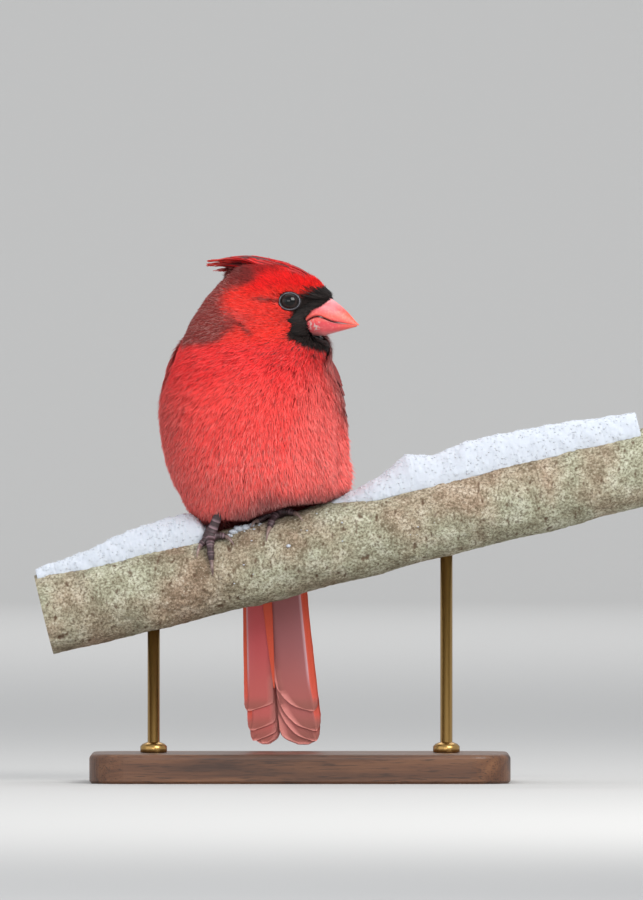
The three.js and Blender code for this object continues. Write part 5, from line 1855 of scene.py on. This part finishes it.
# %% Cut ends
cut_wood = Finish("cut wood", roughness=0.75, specular_ior_level=0.2)
wobble = cut_wood.node("TexNoise", Vector=cut_wood.place(), Scale=90.0, Detail=3.0)
uneven = cut_wood.node("Math", {"operation": "MULTIPLY_ADD"})
for socket, value in enumerate((wobble.outputs["Fac"], 2.2, cut_wood.attribute("ring"))):
    cut_wood.put(uneven.inputs[socket], value)
ring_tones = ((0.0, linear(188, 166, 132)), (0.8, linear(198, 178, 146)), (1.0, linear(158, 130, 98)))
cut_wood.colour(cut_wood.ramp(cut_wood.sine(uneven.outputs[0], 4.4), *ring_tones))


def cut_end(name, row, outward_sign):
    edge = bark_points[row]
    centre = perch_point(ALONG[row], 0.0, 0.0) + perch_up * 1.2
    shares = np.linspace(0.02, 1, 24)
    rings = centre + (edge[None] - centre) * shares[:, None, None]
    points = np.concatenate([rings.reshape(-1, 3), centre[None]])
    n = len(edge)
    values = np.concatenate([np.linalg.norm(rings - centre, axis=-1).ravel(), [0]])
    k = np.arange(n)
    hub = np.stack([np.full(n, len(points) - 1), k, (k + 1) % n], -1)
    faces = [sheet(len(shares), n, closed=True), hub]
    faces = flipped(faces) if outward_sign > 0 else faces
    return build(name, points, faces, cut_wood.material, numbers={"ring": values})


dress(cut_end("branch_end_left", 0, -1), "bark")
dress(cut_end("branch_end_right", len(ALONG) - 1, 1), "bark")
print("the branch is", round(PERCH["right"] - PERCH["left"]), "mm from cut to cut")

# %% [markdown]
# Dry snow lies on the branch in soft ridges, thickest beside the bird. Each ridge is a closed body with a
# lumpy surface, which follows a table of places along the branch and heights of snow there.

# %% Banks of snow
SNOW = {
    "left": [
        (-107, 2.5), (-85, 5.2), (-62, 8.8), (-46, 10.2), (-41.5, 10), (-38.6, 8.8), (-36.6, 6.5),
        (-35.4, 2),
    ],
    "right": [
        (17, 0.3), (27, 3), (38, 5.6), (47, 9.8), (52, 12.4), (62, 9.6), (76, 11.6), (110, 10), (147, 7)
    ],
}
snow = Finish(
    "snow", base_color=(*linear(196, 202, 211), 1), roughness=0.6, subsurface_weight=0.35,
    subsurface_scale=0.002,
)
snow.shader.inputs["Subsurface Radius"].default_value = (1.0, 1.0, 1.1)
snow_grain = snow.node("TexNoise", Vector=snow.place(), Scale=1400.0, Detail=3.0)
snow.bump(snow_grain.outputs["Fac"], 0.12, 0.5)


def snow_bank(name, table, full_width):
    table = np.array(table, dtype=float)
    s = np.linspace(table[0, 0], table[-1, 0], 260)
    height = smooth_line(table, s, (-1.2, -0.6, 0, 0.6, 1.2))
    width = full_width * np.minimum(1, 0.45 + height / 9) / 2
    a = full_turn(72)
    sine, cosine = np.sin(a), np.cos(a)
    base = perch_point(s, np.zeros_like(s), bark_radius(s, np.zeros_like(s)) - 3)
    rise = np.where(sine > 0, np.abs(sine) ** 0.8 * (height[:, None] + 3), 2 * sine)
    points = (
        base[:, None] + perch_front * (width[:, None] * cosine)[..., None] + perch_up * rise[..., None]
    )
    flat = points.reshape(-1, 3)
    lumps = np.array([noise.fractal(Vector(p / 5.0), 1.0, 2.1, 4) for p in flat]).reshape(len(s), -1)
    away = cosine[None, :, None] * perch_front + np.abs(sine)[None, :, None] * perch_up
    small = np.array([noise.noise(Vector(p / 1.1)) for p in flat]).reshape(len(s), -1)
    points = points + away * (0.6 * lumps + 0.22 * small - 0.3)[..., None]
    body, faces = closed_body(points, points[0].mean(0), points[-1].mean(0))
    return build(name, body, faces, snow.material)


print("deepest snow:", max(height for table in SNOW.values() for _, height in table), "mm")

# %% [markdown]
# A smooth bank alone looks like plaster, so loose grains are scattered over it. The tree strews points on
# its faces and puts a small ball of its own size on each.

# %% Grains of snow
grain_inputs = [("Grain size", "Float", 0.0004), ("Density", "Float", 700000.0), ("Seed", "Int", 1)]
grain_tree = node_group("scattered grains", grain_inputs)
grain_in = grain_tree.nodes.new("NodeGroupInput").outputs
scatter = grain_tree.nodes.new("GeometryNodeDistributePointsOnFaces")
grain = grain_tree.nodes.new("GeometryNodeMeshIcoSphere")
grain.inputs["Subdivisions"].default_value = 1
grain_size = grain_tree.nodes.new("FunctionNodeRandomValue")
grain_size.inputs[2].default_value = 0.35
grain_size.inputs[3].default_value = 1.3
put_grains = grain_tree.nodes.new("GeometryNodeInstanceOnPoints")
both = grain_tree.nodes.new("GeometryNodeJoinGeometry")
wire(
    grain_tree, (grain_in["Geometry"], scatter.inputs["Mesh"]),
    (grain_in["Density"], scatter.inputs["Density"]), (grain_in["Seed"], scatter.inputs["Seed"]),
    (grain_in["Seed"], grain_size.inputs["Seed"]), (grain_in["Grain size"], grain.inputs["Radius"]),
    (scatter.outputs["Points"], put_grains.inputs["Points"]),
    (scatter.outputs["Rotation"], put_grains.inputs["Rotation"]),
    (grain.outputs["Mesh"], put_grains.inputs["Instance"]),
    (grain_size.outputs[1], put_grains.inputs["Scale"]), (put_grains.outputs[0], both.inputs[0]),
    (grain_in["Geometry"], both.inputs[0]),
)
finish_tree(grain_tree, both.outputs[0], snow.material)
for (name, table), wide in zip(SNOW.items(), (19, 20)):
    bank = snow_bank("bank_" + name, table, wide)
    piece = grown(
        "snow_" + name, bank, grain_tree, {"Grain size": 0.00036, "Density": 300000.0, "Seed": 4}
    )
    bpy.data.objects.remove(bank)
    dress(piece, "snow", "perch_snow_" + name)
    print("snow", name, "faces:", len(piece.data.polygons))

# %% [markdown]
# Between the feet lies a short row of crumbs of snow, and smaller specks are scattered over the bark.
# Each is a small ball that noise has made rough.

# %% Specks of snow by the feet
def speck(along, angle, size, dice):
    """A small rough lump on the bark."""
    centre = perch_point(along, angle, bark_radius(along, angle) + 0.15 * size)
    tilt, turn = np.linspace(0, np.pi, 9)[1:-1], full_turn(14)
    t, a = np.meshgrid(tilt, turn, indexing="ij")
    rings = np.stack([np.sin(t) * np.cos(a), np.sin(t) * np.sin(a), np.cos(t)], -1)
    way, faces = closed_body(rings, vec(0, 0, 1), vec(0, 0, -1))
    lump = np.array([noise.noise(Vector(w * 1.7 + along)) for w in way])
    return centre + way * vec(1.2, 1, 0.8) * (size * (1 + 0.5 * lump))[:, None], flipped(faces)


dice = np.random.default_rng(21)
SPECKS = [
    (-24.5, 30, 1.5), (-22, 26, 1.8), (-19, 28, 1.5), (-16.5, 24, 1.1), (-26.5, 36, 0.9), (-4, 78, 0.8)
]
SPECKS += [(dice.uniform(-27, -13), dice.uniform(20, 48), dice.uniform(0.25, 0.6)) for _ in range(14)]
SPECKS += [(dice.uniform(-75, 60), dice.uniform(35, 120), dice.uniform(0.15, 0.4)) for _ in range(16)]
points, faces, _ = joined([speck(*values, dice) for values in SPECKS])
dress(build("snow_specks", points, faces, snow.material), "snow")
print("specks:", len(SPECKS))

# %% [markdown]
# The stand is a plain plinth of dark oiled wood and two brass rods with collars. The plinth's corners and
# edges are rounded so that they catch a line of light. Grain is a stretched noise, because planks are cut
# along the trunk.

# %% Plinth
PLINTH = {"length": 172.0, "width": 98.0, "height": 12.0, "corner": 16.0, "edge": 2.0}
oiled = Finish(
    "oiled wood", roughness=0.42, specular_ior_level=0.45, coat_weight=0.12, coat_roughness=0.25
)
plank = oiled.node("Mapping", Vector=oiled.place(), Scale=(9, 120, 90))
figure = oiled.node(
    "TexNoise", Vector=plank.outputs[0], Scale=1.0, Detail=7.0, Roughness=0.6, Distortion=0.6
)
pore_place = oiled.node("Mapping", Vector=oiled.place(), Scale=(120, 1800, 1800)).outputs[0]
wood_pores = oiled.node("TexNoise", Vector=pore_place, Scale=1.0, Detail=2.0).outputs["Fac"]
wood_tones = ((0.32, linear(58, 36, 24)), (0.5, linear(92, 58, 37)), (0.68, linear(120, 80, 52)))
wood = oiled.ramp(figure.outputs["Fac"], *wood_tones)
oiled.colour(oiled.mix(oiled.ramp(wood_pores, (0.55, 0.0), (0.68, 0.6)), wood, linear(38, 24, 16)))
oiled.bump(wood_pores, 0.08, 0.4)


def rounded_rectangle(half_x, half_y, corner, per_corner=14):
    points = []
    for cx, cy, start in ((1, 1, 0), (-1, 1, 90), (-1, -1, 180), (1, -1, 270)):
        for a in np.radians(start + np.linspace(0, 90, per_corner)):
            points.append(
                (cx * (half_x - corner) + corner * np.cos(a), cy * (half_y - corner) + corner * np.sin(a))
            )
    return np.array(points)


def plinth_mesh():
    e, h = PLINTH["edge"], PLINTH["height"]
    steps = [(e * 0.5, 0.0), (0.0, e * 0.5)] + [(0.0, h * 0.5), (0.0, h - e)]
    steps += [(e * (1 - np.cos(a)), h - e + e * np.sin(a)) for a in np.linspace(0.2, np.pi / 2, 7)]
    rings = []
    for inset, z in steps:
        half_x, half_y = PLINTH["length"] / 2 - inset, PLINTH["width"] / 2 - inset
        ring = rounded_rectangle(half_x, half_y, PLINTH["corner"] - inset)
        rings.append(np.column_stack([ring, np.full(len(ring), z)]))
    return closed_body(rings, vec(0, 0, 0), vec(0, 0, h))


points, faces = plinth_mesh()
plinth = dress(
    build("plinth_wood", points, faces, oiled.material, smooth=False), "plinth", "stand_plinth"
)
print("plinth faces:", len(plinth.data.polygons))

# %% [markdown]
# A rod with its collar is a turned piece, so one outline of radii and heights, spun round an upright
# axis, gives all of it. Its length comes from the solid rod.

# %% Rods
brass = Finish("brass", base_color=(*linear(176, 140, 84), 1), metallic=1.0, roughness=0.28)
brushed_place = brass.node("Mapping", Vector=brass.place(), Scale=(200, 200, 3000)).outputs[0]
brushed = brass.node("TexNoise", Vector=brushed_place, Scale=1.0)
brass.bump(brushed.outputs["Fac"], 0.02, 0.3)


def turned(x, shape):
    """A turned piece on an upright axis at x. Its shape is radii and heights from bottom to top."""
    a = full_turn(48)
    rings = [np.column_stack([x + r * np.cos(a), r * np.sin(a), np.full(len(a), z)]) for r, z in shape]
    return closed_body(rings, vec(x, 0, shape[0][1]), vec(x, 0, shape[-1][1]))


ROD = {"radius": 2.5, "sunk": 6.0}
# Radii of the collar, and their heights over the plinth
COLLAR = [(5.2, 0.1), (5.5, 0.4), (5.5, 2.6), (4.6, 3.6), (3.2, 4.2), (2.5, 4.4)]
for x, name in ((-60.0, "left"), (60.0, "right")):
    top_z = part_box("stand_rod_" + name)[1][2] / MM
    foot_z = PLINTH["height"]
    shape = [(ROD["radius"], foot_z - ROD["sunk"]), (ROD["radius"], foot_z)]
    shape += [(radius, foot_z + height) for radius, height in COLLAR] + [(ROD["radius"], top_z)]
    points, faces = turned(x, shape)
    dress(build("rod_brass_" + name, points, faces, brass.material), "rod", "stand_rod_" + name)
    print("rod", name, "reaches", round(top_z, 1), "mm")

# %% [markdown]
# Last, the view layer is brought up to date.

# %% Finish
bpy.context.view_layer.update()
